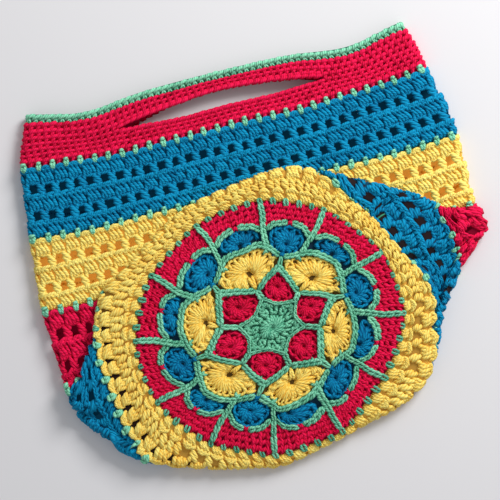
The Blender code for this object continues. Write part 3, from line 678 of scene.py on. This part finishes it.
def lay_on_wall(piece, kind, u, s, wide=1.0, tall=1.0, lift=0.0, spread=0.0, tone=0.0):
    """Lay a stitch at every u and s; spread leans it away from the middle of its cluster."""
    count = len(u)
    x, y, z = loose(kind, count)
    u, s, tall, lift = each(u, count), each(s, count), each(tall, count), each(lift, count)
    x = x * wide + spread * np.clip(y / TALL, -0.4, 1.0)
    up, out = wander(u, s)
    points = on_wall(u - x / DEGREE, s + up + y * tall / UNIT, z + lift + out)
    # The shade: a tone from the caller, painted shade below the flap's top, the stitch's own random
    # tone, and painted light and shade by how far each corner stands out
    shade = tone + np.where(s < FLAP_TOP, FLAP_PAINTED_SHADE, 0.0) + chance.normal(0, 1, (count, 1))
    gather(piece, kind, points, shade + (z - 1.0) * PAINTED_RELIEF_SHADE)


def lay_on_base(piece, kind, places, heading, wide=1.0, tall=1.0, lift=0.0, amount=1.0):
    """Lay a stitch at places of the drawing, its Y along a heading in degrees."""
    places = places.reshape(-1, 2)
    count = len(places)
    x, y, z = loose(kind, count, amount)
    x = x * each(wide, count)
    y = y * each(tall, count)
    turn = np.radians(each(heading, count))
    flat = np.stack([x * np.sin(turn) + y * np.cos(turn),
                     y * np.sin(turn) - x * np.cos(turn)], axis=-1)
    points = on_base(places[:, None] + flat / UNIT, z + each(lift, count))
    # The shade: the base's painted shade, the stitch's own random tone, and painted light and shade
    # by how far each corner stands out
    shade = chance.normal(BASE_PAINTED_SHADE, 1, (count, 1))
    gather(piece, kind, points, shade + (z - 1.0) * PAINTED_RELIEF_SHADE)


def lay_round(piece, kind, radius, ways, turned=0.0, **more):
    """Lay a stitch at a radius of the flower for each way, its Y turned from that way."""
    lay_on_base(piece, kind, from_polar(radius, ways), ways + turned, **more)


# %% [markdown]
# ## The backing
# In real cloth a gap between stitches shows more yarn, deep down, and seldom the table. More
# strands there would double the model for what is hardly seen, so a thin closed sheet lies
# behind the stitches, painted in shade. Each corner has a depth: 0 is a strand, 1 the sheet in
# the yarn's dark colour as painted shade, and towards 2 it turns nearly black, a deeper painted
# shade.

# %% The backing that closes the cloth behind its stitches
ROUND_WALL = np.arange(0, 360, 2.0)
SHEET_LIFT = -0.2
SHEET_THICK = 1.0


def backing(piece, outer, inner, deep=1.0, wraps=True):
    """A thin closed sheet between two grids of points, in millimetres."""
    columns, rows = outer.shape[:2]
    total = columns * rows
    index = np.arange(total).reshape(columns, rows)
    across = np.roll(index, -1, axis=0) if wraps else index[1:]
    here = index if wraps else index[:-1]

    def side(first, second):
        return np.stack([first, second, second + total, first + total], axis=-1)

    faces = np.stack([here[:, :-1], here[:, 1:], across[:, 1:], across[:, :-1]], axis=-1)
    faces = faces.reshape(-1, 4)
    every = [faces, faces[:, ::-1] + total,
             side(here[:, 0], across[:, 0]), side(across[:, -1], here[:, -1])]
    if not wraps:
        every += [side(index[0, 1:], index[0, :-1]), side(index[-1, :-1], index[-1, 1:])]
    quads = np.concatenate(every)
    kind = f"sheet {piece} {len(stitches)}"
    points = np.concatenate([outer.reshape(-1, 3), inner.reshape(-1, 3)])
    stitches[kind] = {"corners": points, "loops": quads.ravel(),
                      "starts": np.arange(len(quads)) * 4, "yarn": np.zeros((quads.size, 2))}
    deeps = np.tile(np.repeat(np.broadcast_to(deep, columns), rows), 2)
    gather(piece, kind, points[None], np.zeros((1, total * 2)), deeps)


def wall_backing(piece, first, last, u=ROUND_WALL, wraps=True, deep=1.0, lift=SHEET_LIFT):
    """Backing of a stretch of wall between two heights, which may change with u."""
    first, last, u = each(first, len(u)), each(last, len(u)), each(u, len(u))
    s = first + (last - first) * np.linspace(0, 1, 5)
    up, out = wander(u, s)
    u = np.broadcast_to(u, s.shape)
    backing(piece, on_wall(u, s + up, out + lift),
            on_wall(u, s + up, out + lift - SHEET_THICK), deep, wraps)


# %% [markdown]
# ## The bands of the wall
# A band of colour is five rows: solid, open, solid, open, solid. In a solid row the tall
# stitches stand in threes that share a foot, so each three spreads upwards and leaves a dark
# gap beside its foot. In an open row one post stands at each mint mark, with a square hole
# between posts. The lowest band has three rows, and is folded over by the weight of the base.

# %% Heights of the rounds, and the repeats of six degrees
MINT_HEIGHT = 3.2
MARK_STEP = 6.0  # degrees
bands = [("yellow_lower_band", 36.9), ("blue_lower_band", 64.2), ("red_middle_band", 64.2),
         ("yellow_upper_band", 64.2), ("blue_upper_band", 64.2), ("red_top_band", 36.0)]
plan = []
for number, band in enumerate(bands, 1):
    plan += [(f"mint_round_{number}", MINT_HEIGHT), band]
plan.append(("mint_edging", 8.4))
full = sum(height for _, height in plan)
heights = {}
start = 0.0
for name, height in plan:
    heights[name] = (start, start + height * MOUTH / full)
    start = heights[name][1]
marks = SPOKE + np.arange(60) * MARK_STEP
between = marks + MARK_STEP / 2
print({name: tuple(round(end, 1) for end in ends) for name, ends in heights.items()})


def within(u, *ranges):
    """Which turns lie in one of the ranges of degrees."""
    return np.any([(u % 360 > first) & (u % 360 < last) for first, last in ranges], axis=0)


# %% Solid rows
# Painted shade: where the gaps between the puffs are painted darker, at the lower left
LOWER_LEFT_PAINTED_SHADE = np.interp(ROUND_WALL, (140, 165, 245, 270), (0, 1, 1, 0))  # at the lower left
REACH = 0.8  # how far a tall stitch reaches into the row below
REACH_OVER_OPEN = 1.8
SHORTER = 0.4  # how much shorter it is below an open row
APART = (1.2, 1.8)  # of the stitches of a three: degrees at the foot, millimetres of lean
PUFFS_APART = (1.0, 0.8)
SILL_HIGHER = 0.8
ARCH_LOWER = 1.4


def solid_row(piece, s, tall, over_open, under_open, puffs=False):
    """Sixty threes of tall stitches on a row that starts at s; as puffs they stand apart."""
    reach_down = REACH_OVER_OPEN if over_open else REACH
    lower_top = SHORTER if under_open else 0.0
    top = s + tall * TALL / UNIT
    long = tall * (TALL + (reach_down - lower_top) * UNIT) / TALL
    apart, spread = PUFFS_APART if puffs else APART
    for side in (-1, 0, 1):
        lay_on_wall(piece, "tall", between - side * apart, s - reach_down, tall=long,
                    spread=side * spread, lift=0.0 if side else 0.25)
    if under_open and not puffs:
        lay_on_wall(piece, "sill", between, top + SILL_HIGHER)
    else:
        lay_on_wall(piece, "arch", between, top - ARCH_LOWER, lift=0.2,
                    wide=0.8 if puffs else 1.0)
    low_end = 0.4 - reach_down if over_open else -1.8
    high_end = -0.2 if under_open else 1.2
    # Painted shade: the backing behind the puffs is painted darker, and darker still at the lower
    # left above an open row
    deep = 1.3 + 0.7 * over_open * LOWER_LEFT_PAINTED_SHADE if puffs else 1.0
    wall_backing(piece, s + low_end, top + high_end, deep=deep)


# %% Open rows
BEHIND = TWIST + np.arange(181.0, 363.0, 2.0)
EAR = np.arange(-7.0, 62.0, 2.0)  # the fold at the right
# Painted shade: the backing in the ear is painted nearly black
EAR_PAINTED_SHADE = 1.95
PULLED_OPEN = ((326, 359), (217, 235))
# Painted shade: the backing of a close row is painted darker than the yarn's dark colour
CLOSE_ROW_PAINTED_SHADE = 1.55


def open_row(piece, s, tall, close=False):
    """Sixty posts with holes between them, or twice as many in a close row.

    At the back the holes are shut by a backing sheet in painted shade, and in the ear by one
    painted nearly black.
    """
    lay_on_wall(piece, "post", marks, s, tall=tall, wide=1.3)
    top = s + tall * TALL / UNIT
    if close:
        lay_on_wall(piece, "post", between[~within(between, *PULLED_OPEN)], s, tall=tall)
        wall_backing(piece, s, top, deep=CLOSE_ROW_PAINTED_SHADE)
    else:
        lay_on_wall(piece, "lintel", between, s, tall=tall)
        wall_backing(piece, s, top, BEHIND, wraps=False)
        if piece == "blue_lower_band":
            wall_backing(piece, s, top, EAR, wraps=False, deep=EAR_PAINTED_SHADE, lift=0.9)


# %% Lay the rows of every band but the top one
for piece, _ in bands[:-1]:
    first, last = heights[piece]
    rows = 3 if piece == "yellow_lower_band" else 5
    step = (last - first) / rows
    tall = step * UNIT / TALL
    for row in range(rows):
        at = first + row * step
        if row % 2:
            open_row(piece, at, tall, close=rows == 3)
        else:
            solid_row(piece, at, tall, row > 0, row < rows - 1, puffs=rows == 3)
print("Row height in mm:", round(tall * TALL, 2))

# %% The mint rounds: a running thread, and a mark at each repeat
HIDDEN_MARKS = ((214, 360), (57, 112))  # of the second round, at the flap's fold
for number in range(1, 7):
    piece = f"mint_round_{number}"
    middle = sum(heights[piece]) / 2
    lay_on_wall(piece, "runner", between, middle)
    if number == 1:
        # Painted shade: the eyes are painted darker than the other marks
        lay_on_wall(piece, "eye", marks, middle - 0.4, tall=1.05, lift=0.9, tone=-3.0)
    else:
        hidden = (number == 2) & within(marks, *HIDDEN_MARKS)
        lay_on_wall(piece, "mark", marks, middle + 0.6, tall=0.86,
                    lift=np.where(hidden, -3.6, 0.9))

# %% [markdown]
# ## The red top and the mint edging
# Short stitches make a firm band that can be held. Its middle rows part into a long slot at the
# front and one at the back, so the rows below and above follow the slot's edges, and a rolled
# lip runs along each edge. The edging is a slanted rope over a row of small Vs.

# %% The hand slots and the short rows
SLOT_START = 42
SLOT_TURN = 96  # degrees
SLOT_ENDS = 1.3
SLOT_DOWN = 4.2
SLOT_UP = 7.2
BACK_SLOT_HIGHER = 4.0
LOWER_ROWS = 4
UPPER_ROWS = 3
FOOT = 2.4  # how far the first row reaches down
HEAD = 1.2  # how far the last row reaches up


def slot_edges(u):
    """Lower and upper edge of the hand slot in drawing units, together where there is none."""
    inside = np.clip(((u - TWIST) % 180 - SLOT_START) / SLOT_TURN, 0, 1)
    arch = np.sin(inside * math.pi)
    ends = SLOT_ENDS * np.clip(arch * 6, 0, 1)
    middle = sum(heights["red_top_band"]) / 2 + 2
    higher = np.where((u - TWIST) % 360 > 180, BACK_SLOT_HIGHER, 0.0)
    return (middle - (ends + SLOT_DOWN * arch) / UNIT,
            middle + (ends + (SLOT_UP + higher) * arch) / UNIT)


first, last = heights["red_top_band"]
shorts = SPOKE + np.arange(120) * MARK_STEP / 2
for row in range(LOWER_ROWS + UPPER_ROWS):
    u = shorts + row * 0.7
    low, high = slot_edges(u)
    if row < LOWER_ROWS:
        at = first + (low - first) * row / LOWER_ROWS
        step = (low - first) / LOWER_ROWS
        if row == 0:
            at = first - FOOT
            step = step + FOOT
    else:
        at = high + (last + HEAD - high) * (row - LOWER_ROWS) / UPPER_ROWS
        step = (last + HEAD - high) / UPPER_ROWS
    lay_on_wall("red_top_band", "short", u, at, tall=step * UNIT / SHORT)
phase = (shorts - TWIST) % 180
lips = shorts[(phase > SLOT_START + 1) & (phase < SLOT_START + SLOT_TURN - 1)]
low, high = slot_edges(lips)
lay_on_wall("red_top_band", "lip", lips, high + 1.0, lift=0.5)
lay_on_wall("red_top_band", "lip", lips, low - 1.0, lift=0.1)
low, high = slot_edges(ROUND_WALL)
wall_backing("red_top_band", first - FOOT, low - 0.3)
wall_backing("red_top_band", high + 0.3, last - 0.3)
first, last = heights["mint_edging"]
lay_on_wall("mint_edging", "edging", shorts, first + 1.2, tall=0.86)
wall_backing("mint_edging", first + 0.3, last - 0.8)

# %% [markdown]
# ## The round base
# The flower is a star of mint, six red petals, six yellow shells and twelve blue scallops, with
# mint chains lying over their borders. Each petal, shell or scallop is a fan: tall stitches
# that all start in one small hole and reach out to the border, so a fan is drawn by its hole
# and by how far it reaches in each direction.

# %% Chains laid along a path of the drawing
CHAIN_LIFT = THICK / 2 + 0.9
LINK_STEP = 6.0
LINK_LENGTH = 5.4


def chain(piece, way, path, count, lift=0.0, wide=1.0):
    """Chain stitches along a smooth path of radii and angles, turned to a way."""
    path = np.array(path, dtype=float)
    spots = from_polar(path[:, 0], way + path[:, 1])
    path = smooth_curve(np.arange(len(path), dtype=float), spots,
                        np.linspace(0, len(path) - 1, count))
    steps = np.hypot(*np.diff(path, axis=0).T)
    run = np.concatenate([[0], np.cumsum(steps)])
    links = max(int(round(run[-1] / LINK_STEP)), 1)
    at = (np.arange(links) + 0.1) * run[-1] / links
    places, ahead, behind = (np.stack([np.interp(at + more, run, line) for line in path.T], axis=1)
                             for more in (0, 4, -1))
    along = ahead - behind
    heading = np.degrees(np.arctan2(along[:, 1], along[:, 0]))
    lay_on_base(piece, "link", places, heading, wide=wide,
                tall=run[-1] / links * UNIT / LINK_LENGTH, lift=CHAIN_LIFT + lift, amount=0.8)


# %% Fans of stitches round a hole
DOME = 0.8
LOOSE = 1.6
WAYS_VARY = 1.2  # degrees
RIM = 3.4  # how far before the border the rays end
RAY_LENGTH = 10
RAY_ROOM = 6.6  # millimetres between rays of the usual width
LOOP_ROOM = 6.4


def fitted(room, usual):
    """How wide a stitch has to be for the room there is, as a share of its usual width."""
    return np.clip(room * UNIT / usual, 0.6, 1.9)


def fan(piece, radius, degrees, reach, count, first=-180, last=180, hole=3.0, lift=0.0):
    """Rays from a hole, as long as reach says for each way, with loops at their ends."""
    centre = from_polar(radius, degrees)
    ways = first + (last - first) * (np.arange(count) + 0.5) / count
    ways = ways + chance.normal(0, WAYS_VARY, count)
    far = np.interp(np.abs(ways), *zip(*reach))
    inner = far - RIM
    heading = degrees + ways
    turn = np.radians(heading)
    along = np.stack([np.cos(turn), np.sin(turn)], axis=1)
    side = np.stack([-along[:, 1], along[:, 0]], axis=1)
    step = math.radians((last - first) / count)
    lay_on_base(piece, "ray", centre + along * hole, heading, wide=fitted(step * inner, RAY_ROOM),
                tall=(inner - hole) * UNIT / RAY_LENGTH, lift=lift + DOME, amount=LOOSE)
    lay_on_base(piece, "loop", centre + along * (far - 2.0)[:, None], heading,
                wide=fitted(step * far, LOOP_ROOM), lift=lift + DOME * 0.3, amount=LOOSE)
    spot = centre + (along + side * (step / 2)) * (far - 4.4)[:, None]
    lay_on_base(piece, "slant", spot, heading + 30, lift=lift + DOME * 0.4, wide=0.9, tall=0.8,
                amount=LOOSE)


# %% The petals, the shells and the scallops
star_ways = SPOKE + 45 + np.arange(6) * 60.0
petal_ways = SPOKE + 15 + np.arange(6) * 60.0
spoke_ways = SPOKE + np.arange(12) * 30.0

# How far the fans reach, by the angle from their middle
PETAL = [(0, 15.5), (30, 12.8), (50, 12.2), (70, 14.0), (90, 17), (105, 18), (130, 16.5),
         (155, 17), (180, 18)]
SHELL = [(0, 22), (60, 23), (80, 26), (100, 27), (115, 25), (130, 18), (150, 14), (180, 12)]
LONG_SCALLOP = [(0, 19), (45, 19), (90, 20), (135, 17), (180, 15)]
SHORT_SCALLOP = [(0, 13), (45, 16), (90, 20), (120, 9), (180, 5)]
POINT = [(0, 13.5), (35, 11), (60, 9), (100, 8)]

for way in petal_ways:
    fan("petal_round", 45.0, way, PETAL, 9, hole=1.6)
for way in star_ways:
    fan("shell_round", 66.5, way, SHELL, 9, -88, 88, hole=3.4)
    for side in (-1, 1):
        wing_ends = sorted((side * 92, side * 148))
        fan("shell_round", 66.5, way, SHELL, 3, *wing_ends, hole=3.8, lift=-0.5)
        wing = from_polar(np.array([54.5, 58.0, 62.5, 67.5]),
                          way + side * np.array([6, 12, 17.5, 22]))
        lay_on_base("shell_round", "short", wing, way + side * 62 - side * 30, lift=0.6,
                    wide=0.95)
    lay_round("shell_round", "ray", 51.5, way, tall=1.15, wide=0.9, lift=2.0)
for way in petal_ways:
    fan("scallop_round", 91.0, way, LONG_SCALLOP, 9, hole=2.0)
    for side in (-1, 1):
        lay_on_base("scallop_round", "short", from_polar(70.0, way + side * 6.5), way,
                    lift=0.2, wide=0.9)
for way in star_ways:
    fan("scallop_round", 97.0, way, SHORT_SCALLOP, 8, -130, 130, hole=2.0)

# %% The star
STAR_LOOSE = 1.5
ways = np.arange(12) * 30.0
lay_round("centre_star", "ray", 0.8, ways, tall=1.3, wide=1.15, lift=1.3,
          amount=STAR_LOOSE)
lay_round("centre_star", "loop", 16.4, ways + 15, lift=0.4, wide=0.75,
          amount=STAR_LOOSE)
ways = np.arange(24) * 15.0 + 8
lay_round("centre_star", "slant", 19.6, ways, turned=50, lift=0.2, amount=STAR_LOOSE)
lay_round("centre_star", "short", 21.5, petal_ways, lift=0.3, amount=STAR_LOOSE)
for way in star_ways:
    fan("centre_star", 23.0, way, POINT, 5, -100, 100, hole=2.4, lift=0.3)

# %% The outer round
OUTER_LOOSE = 1.9
OUTER_RADII = (102.5, 107.0, 111.5, 116.0, 120.5, 125.6)
SLANTS = 1.72  # in one round, for each unit of its radius
BOW = 9.5  # how far a scallop bows out


def scallops(turn, radius):
    """The outline of the blue round: twelve bows out from a radius."""
    return radius + BOW * np.abs(np.sin(np.radians((turn - SPOKE) * 6)))


for radius in OUTER_RADII:
    count = int(radius * SLANTS)
    around = (np.arange(count) + 0.5 * (count % 4)) * 360.0 / count
    lean = np.where(np.arange(count) % 2, 34, -30)
    seen = radius > scallops(around, OUTER_RADII[0])
    lay_round("outer_round", "slant", radius, around[seen], lean[seen], lift=0.25,
              amount=OUTER_LOOSE)
for way in spoke_ways + 15:
    lay_round("outer_round", "loop", 111.0, way, lift=2.0, wide=0.8)


# %% The backing of the base
def radial(node, near, far, deep):
    """Backing of a round of the base between two outlines given by angle."""
    turn = np.arange(0, 360, 2.5)[:, None]
    share = np.linspace(0, 1, 3)
    flat = from_polar(near(turn) * (1 - share) + far(turn) * share, turn)
    backing(node, on_base(flat, SHEET_LIFT), on_base(flat, SHEET_LIFT - SHEET_THICK), deep)


def swing(at_star, at_petal, power=1.0):
    """An outline that swings between the star's points and the petals."""
    def outline(turn):
        wave = (1 + np.cos(np.radians((turn - SPOKE - 45) * 6))) / 2
        return at_petal + (at_star - at_petal) * wave ** power
    return outline


# The depths are painted shade: the backings of the shells and scallops are painted darkest
radial("centre_star", swing(0.3, 0.3), swing(37, 26.5, 1.3), 1.1)
radial("petal_round", swing(37.3, 26.8, 1.3), swing(50, 65), 1.1)
radial("shell_round", swing(50.3, 65.3), swing(91, 73, 0.7), 1.9)
radial("scallop_round", swing(91.3, 73.3, 0.7), lambda turn: scallops(turn, 101.0), 1.5)
radial("outer_round", lambda turn: scallops(turn, 101.3), swing(RING + 2.0, RING + 2.0), 1.1)

# %% The mint chains over the borders
for way in star_ways:
    chain("petal_chain", way, [(64, -30), (57, -18), (50.5, -3)], 12)
    chain("petal_chain", way, [(50.5, 3), (57, 18), (64, 30)], 12)
    chain("petal_chain", way, [(37.5, 0), (49, 0)], 6)
    chain("centre_star", way, [(37, 0), (30, 14), (27, 30), (30, 46), (37, 60)], 24,
          lift=-0.4, wide=0.6)
for way in petal_ways:
    chain("scallop_chain", way, [(64, 0), (72.5, 0)], 6, wide=0.9)
    lay_on_base("petal_chain", "loop", from_polar(59.0, way + np.array([-5.0, 5.0])), way,
                lift=1.7, wide=0.6)
lay_round("scallop_round", "loop", 74.5, petal_ways, lift=2.2, wide=0.8)
lay_round("scallop_chain", "loop", 79.0, spoke_ways, lift=1.8, wide=0.8)
for way in star_ways:
    chain("scallop_chain", way, [(74.5, -27), (84, -16), (90, -8), (91, 0), (90, 8), (84, 16),
                                 (74.5, 27)], 40)
for way in spoke_ways:
    chain("scallop_chain", way, [(86, 0), (100, 0.4), (116, -0.3), (126.5, 0)], 16)
    chain("scallop_chain", way, [(103, 2.4), (109, 7), (112, 13.2)], 12, lift=-0.1, wide=0.85)
    chain("scallop_chain", way, [(112, 16.8), (109, 23), (103, 27.6)], 12, lift=-0.1, wide=0.85)

# %% [markdown]
# ## Cotton yarn
# The yarn is matt cotton of a few plies, twisted. The stitches carry a UV map, with the way
# along the yarn in millimetres and the way round it, so the twist follows every strand, with
# painted light on the plies and painted shade in their grooves. Fine noise gives the fuzz, and
# each stitch has its own slight shade of colour, with painted light and shade by how far it
# stands out. The backing is darker, painted shade for the depth between real stitches. It
# glows a little, painted light for the light that comes through thin cotton, and where it is
# deepest it is nearly black, deeper painted shade.

# %% A small class for shader sums
class Wire:
    """A socket of a material, so that sums of sockets are written as plain sums."""

    def __init__(self, tree, socket=None):
        self.tree = tree
        self.socket = socket

    def make(self, kind, settings=None, values=None, output=0):
        node = self.tree.nodes.new(kind)
        for name, value in (settings or {}).items():
            setattr(node, name, value)
        for name, value in (values or {}).items():
            if isinstance(value, Wire):
                self.tree.links.new(value.socket, node.inputs[name])
            else:
                node.inputs[name].default_value = value
        return Wire(self.tree, node.outputs[output])

    def sum(self, operation, first, second=0.0):
        return self.make("ShaderNodeMath", {"operation": operation}, {0: first, 1: second})

    def __add__(self, other):
        return self.sum("ADD", self, other)

    def __sub__(self, other):
        return self.sum("SUBTRACT", self, other)

    def __rsub__(self, other):
        return self.sum("SUBTRACT", other, self)

    def __mul__(self, other):
        return self.sum("MULTIPLY", self, other)

    def sine(self):
        return self.sum("SINE", self)

    def size(self):
        return self.sum("ABSOLUTE", self)

    def mix(self, low, high):
        settings = {"data_type": "RGBA"}
        return self.make("ShaderNodeMix", settings, {"Factor": self, 6: low, 7: high}, 2)


# %% Matt cotton
# Painted shade: the colour of the deepest gaps
NEARLY_BLACK = (0.02, 0.008, 0.006, 1)
# Painted light: how strongly the backing glows, for the light that comes through thin cotton
PAINTED_GLOW = 0.3


def cotton(name, dark, main, light):
    """Twisted matt cotton: its dark colour as painted shade in the gaps, its main colour, and its
    light colour for the fuzz and as painted highlight on the tops.
    """
    made = bpy.data.materials.new(name)
    made.use_nodes = True
    tree = made.node_tree
    shader = tree.nodes["Principled BSDF"]
    wire = Wire(tree)
    along = wire.make("ShaderNodeUVMap", {"uv_map": "yarn"})
    parts = wire.make("ShaderNodeSeparateXYZ", values={"Vector": along})
    around = Wire(tree, parts.socket.node.outputs[1])
    place = wire.make("ShaderNodeTexCoord", output=3)
    # The twist of the plies: painted light on each ply and painted shade in the grooves between
    # them, and the bump
    ply = (around * (2 * math.pi * 1.5) + parts * 1.3).sine().size()
    noise = {"Vector": place, "Scale": 2400.0, "Detail": 3.0, "Roughness": 0.7}
    fuzz = wire.make("ShaderNodeTexNoise", values=noise)
    noise = {"Vector": place, "Scale": 90.0, "Detail": 2.0}
    patch = wire.make("ShaderNodeTexNoise", values=noise)
    # The shade attribute: each stitch's own random tone, with painted light and shade by how far it
    # stands out, and painted shade on the flap, the base and the eyes
    own = wire.make("ShaderNodeAttribute", {"attribute_name": "shade"}, output=2)
    deep = wire.make("ShaderNodeAttribute", {"attribute_name": "deep"}, output=2)
    # How far the colour goes from main to light: painted light and shade of the plies, the fuzz,
    # random patches and the shade attribute
    bright = ply * 0.75 + fuzz * 0.4 + patch * 0.4 + own * 0.13 - 0.42
    bright = wire.make("ShaderNodeClamp", values={"Value": bright})
    colour = bright.mix((*main, 1), (*light, 1))
    # Painted shade: the backing takes the dark colour, and turns nearly black where it is deepest
    colour = deep.mix(colour, (*dark, 1))
    colour = (deep - 1.0).mix(colour, NEARLY_BLACK)
    tree.links.new(colour.socket, shader.inputs["Base Color"])
    # Painted light: the backing glows in its dark colour, and not where it turns nearly black
    glow = wire.make("ShaderNodeClamp", values={"Value": deep}).mix((0, 0, 0, 1), (*dark, 1))
    glow = (deep - 1.0).mix(glow, (0, 0, 0, 1))
    tree.links.new(glow.socket, shader.inputs["Emission Color"])
    shader.inputs["Emission Strength"].default_value = PAINTED_GLOW
    rough = 0.95 - bright * 0.12
    tree.links.new(rough.socket, shader.inputs["Roughness"])
    height = ply * 0.8 + fuzz * 0.3
    shape = {"Height": height, "Strength": 0.8, "Distance": 0.0005}
    bump = wire.make("ShaderNodeBump", values=shape)
    tree.links.new(bump.socket, shader.inputs["Normal"])
    shader.inputs["Specular IOR Level"].default_value = 0.15
    shader.inputs["Sheen Weight"].default_value = 0.06
    shader.inputs["Sheen Roughness"].default_value = 0.45
    shader.inputs["Sheen Tint"].default_value = (*light, 1)
    return made


# %% The four yarns: dark colour for painted shade, main colour, and light colour for painted highlights and fuzz
YARNS = {
    "mint": [(0.015, 0.12, 0.07), (0.052, 0.3, 0.175), (0.29, 0.76, 0.50)],
    "red": [(0.17, 0.001, 0.015), (0.44, 0.001, 0.018), (0.92, 0.008, 0.085)],
    "yellow": [(0.78, 0.43, 0.065), (0.92, 0.525, 0.06), (1.0, 0.84, 0.22)],
    "blue": [(0.002, 0.044, 0.088), (0.0004, 0.098, 0.235), (0.002, 0.3, 0.54)],
}
finishes = {name: cotton(f"{name}_cotton_yarn", *shades) for name, shades in YARNS.items()}
print("Finishes:", sorted(made.name for made in finishes.values()))

# %% [markdown]
# ## One mesh for each round
# The gathered copies of a round become one mesh that rides on the bag's body, and it stands in
# for the plain solid of the same name. The bands have their colour in their name.

# %% One mesh from the gathered stitches
BASE_COLOURS = {"centre_star": "mint", "petal_chain": "mint", "scallop_chain": "mint",
                "petal_round": "red", "outer_round": "red", "shell_round": "yellow",
                "scallop_round": "blue"}


def make_piece(node, parts):
    """One mesh from all the stitches of a round, with its yarn map, shade and depth."""
    made = {name: [] for name in ("corners", "loops", "starts", "yarn", "shade", "deep")}
    corner_total = loop_total = 0
    for kind, points, shade, deep in parts:
        shape = stitches[kind]
        count, size = points.shape[:2]
        loops = len(shape["loops"])
        copies = np.arange(count)[:, None]
        made["corners"].append(points.reshape(-1, 3) / 1000)
        made["loops"].append((shape["loops"] + corner_total + copies * size).ravel())
        made["starts"].append((shape["starts"] + loop_total + copies * loops).ravel())
        shift = np.stack([chance.uniform(0, 9, count), chance.uniform(0, 1, count)], axis=1)
        made["yarn"].append((shape["yarn"] + shift[:, None]).reshape(-1, 2))
        made["shade"].append(shade.ravel())
        made["deep"].append(np.full(count * size, deep))
        corner_total += count * size
        loop_total += count * loops
    made = {name: np.concatenate(values) for name, values in made.items()}
    mesh = bpy.data.meshes.new(f"{node}_stitches")
    mesh.vertices.add(corner_total)
    mesh.vertices.foreach_set("co", made["corners"].ravel())
    mesh.loops.add(loop_total)
    mesh.loops.foreach_set("vertex_index", made["loops"].astype(np.int32))
    mesh.polygons.add(len(made["starts"]))
    mesh.polygons.foreach_set("loop_start", made["starts"].astype(np.int32))
    mesh.update(calc_edges=True)
    mesh.shade_smooth()
    mesh.uv_layers.new(name="yarn").data.foreach_set("uv", made["yarn"].ravel())
    for name in ("shade", "deep"):
        mesh.attributes.new(name, "FLOAT", "POINT").data.foreach_set("value", made[name])
    piece = bpy.data.objects.new(f"{node}_stitches", mesh)
    bpy.context.collection.objects.link(piece)
    colour = BASE_COLOURS.get(node) or node.split("_")[0]
    mesh.materials.append(finishes[colour])
    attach(piece, "root")
    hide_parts(node)
    mesh.calc_loop_triangles()
    return len(mesh.loop_triangles)


# %% Turn the gathered stitches into pieces
total = 0
for node, parts in work.items():
    amount = make_piece(node, parts)
    total += amount
    print(node, amount, "triangles")
print("All stitches:", total, "triangles")

# %% [markdown]
# ## The table, the light and the camera
# The bag lies on a pale, plain table in soft light from the top right. The camera looks
# straight down through a long lens, turned by fourteen degrees, as the bag is in the picture.

# %% A pale floor
bpy.ops.object.select_all(action="DESELECT")
bpy.ops.mesh.primitive_grid_add(x_subdivisions=4, y_subdivisions=4, size=4.0, location=(0, 0, 0))
floor = bpy.context.object
floor.name = "pale_table"
bpy.ops.object.transform_apply(location=True, rotation=True, scale=True)
paint = bpy.data.materials.new("pale_table_top")
paint.use_nodes = True
top = paint.node_tree.nodes["Principled BSDF"]
top.inputs["Base Color"].default_value = (0.765, 0.75, 0.76, 1)
top.inputs["Roughness"].default_value = 0.8
floor.data.materials.append(paint)

# %% Soft studio light
world = bpy.data.worlds.new("studio")
bpy.context.scene.world = world
world.use_nodes = True
world.node_tree.nodes["Background"].inputs["Color"].default_value = (0.95, 0.97, 1.0, 1)
world.node_tree.nodes["Background"].inputs["Strength"].default_value = 0.45
bpy.context.scene.view_settings.view_transform = "Standard"

WINDOW = (1.12, 0.85, 0.98)
lamp = bpy.data.lights.new("window", "AREA")
lamp.shape = "SQUARE"
lamp.size = 0.7
lamp.energy = 29
window = bpy.data.objects.new("window", lamp)
window.location = WINDOW
tilt = math.atan2(math.hypot(*WINDOW[:2]), WINDOW[2])
window.rotation_euler = (tilt, 0, math.atan2(-WINDOW[1], -WINDOW[0]) - math.pi / 2)
bpy.context.collection.objects.link(window)

# %% The camera
SENSOR = 36.0
CAMERA_PLACE = (-0.0081, 0.0134, 1.30)
CLOTH_AWAY = 1.28
SEEN_WIDTH = 0.45  # of the cloth, from edge to edge of the picture
CAMERA_TURN = -14  # degrees
camera = bpy.data.cameras.new("overhead")
camera.sensor_width = SENSOR
camera.lens = SENSOR * CLOTH_AWAY / SEEN_WIDTH
view = bpy.data.objects.new("overhead", camera)
view.location = CAMERA_PLACE
view.rotation_euler = (0, 0, math.radians(CAMERA_TURN))
bpy.context.collection.objects.link(view)
bpy.context.scene.camera = view
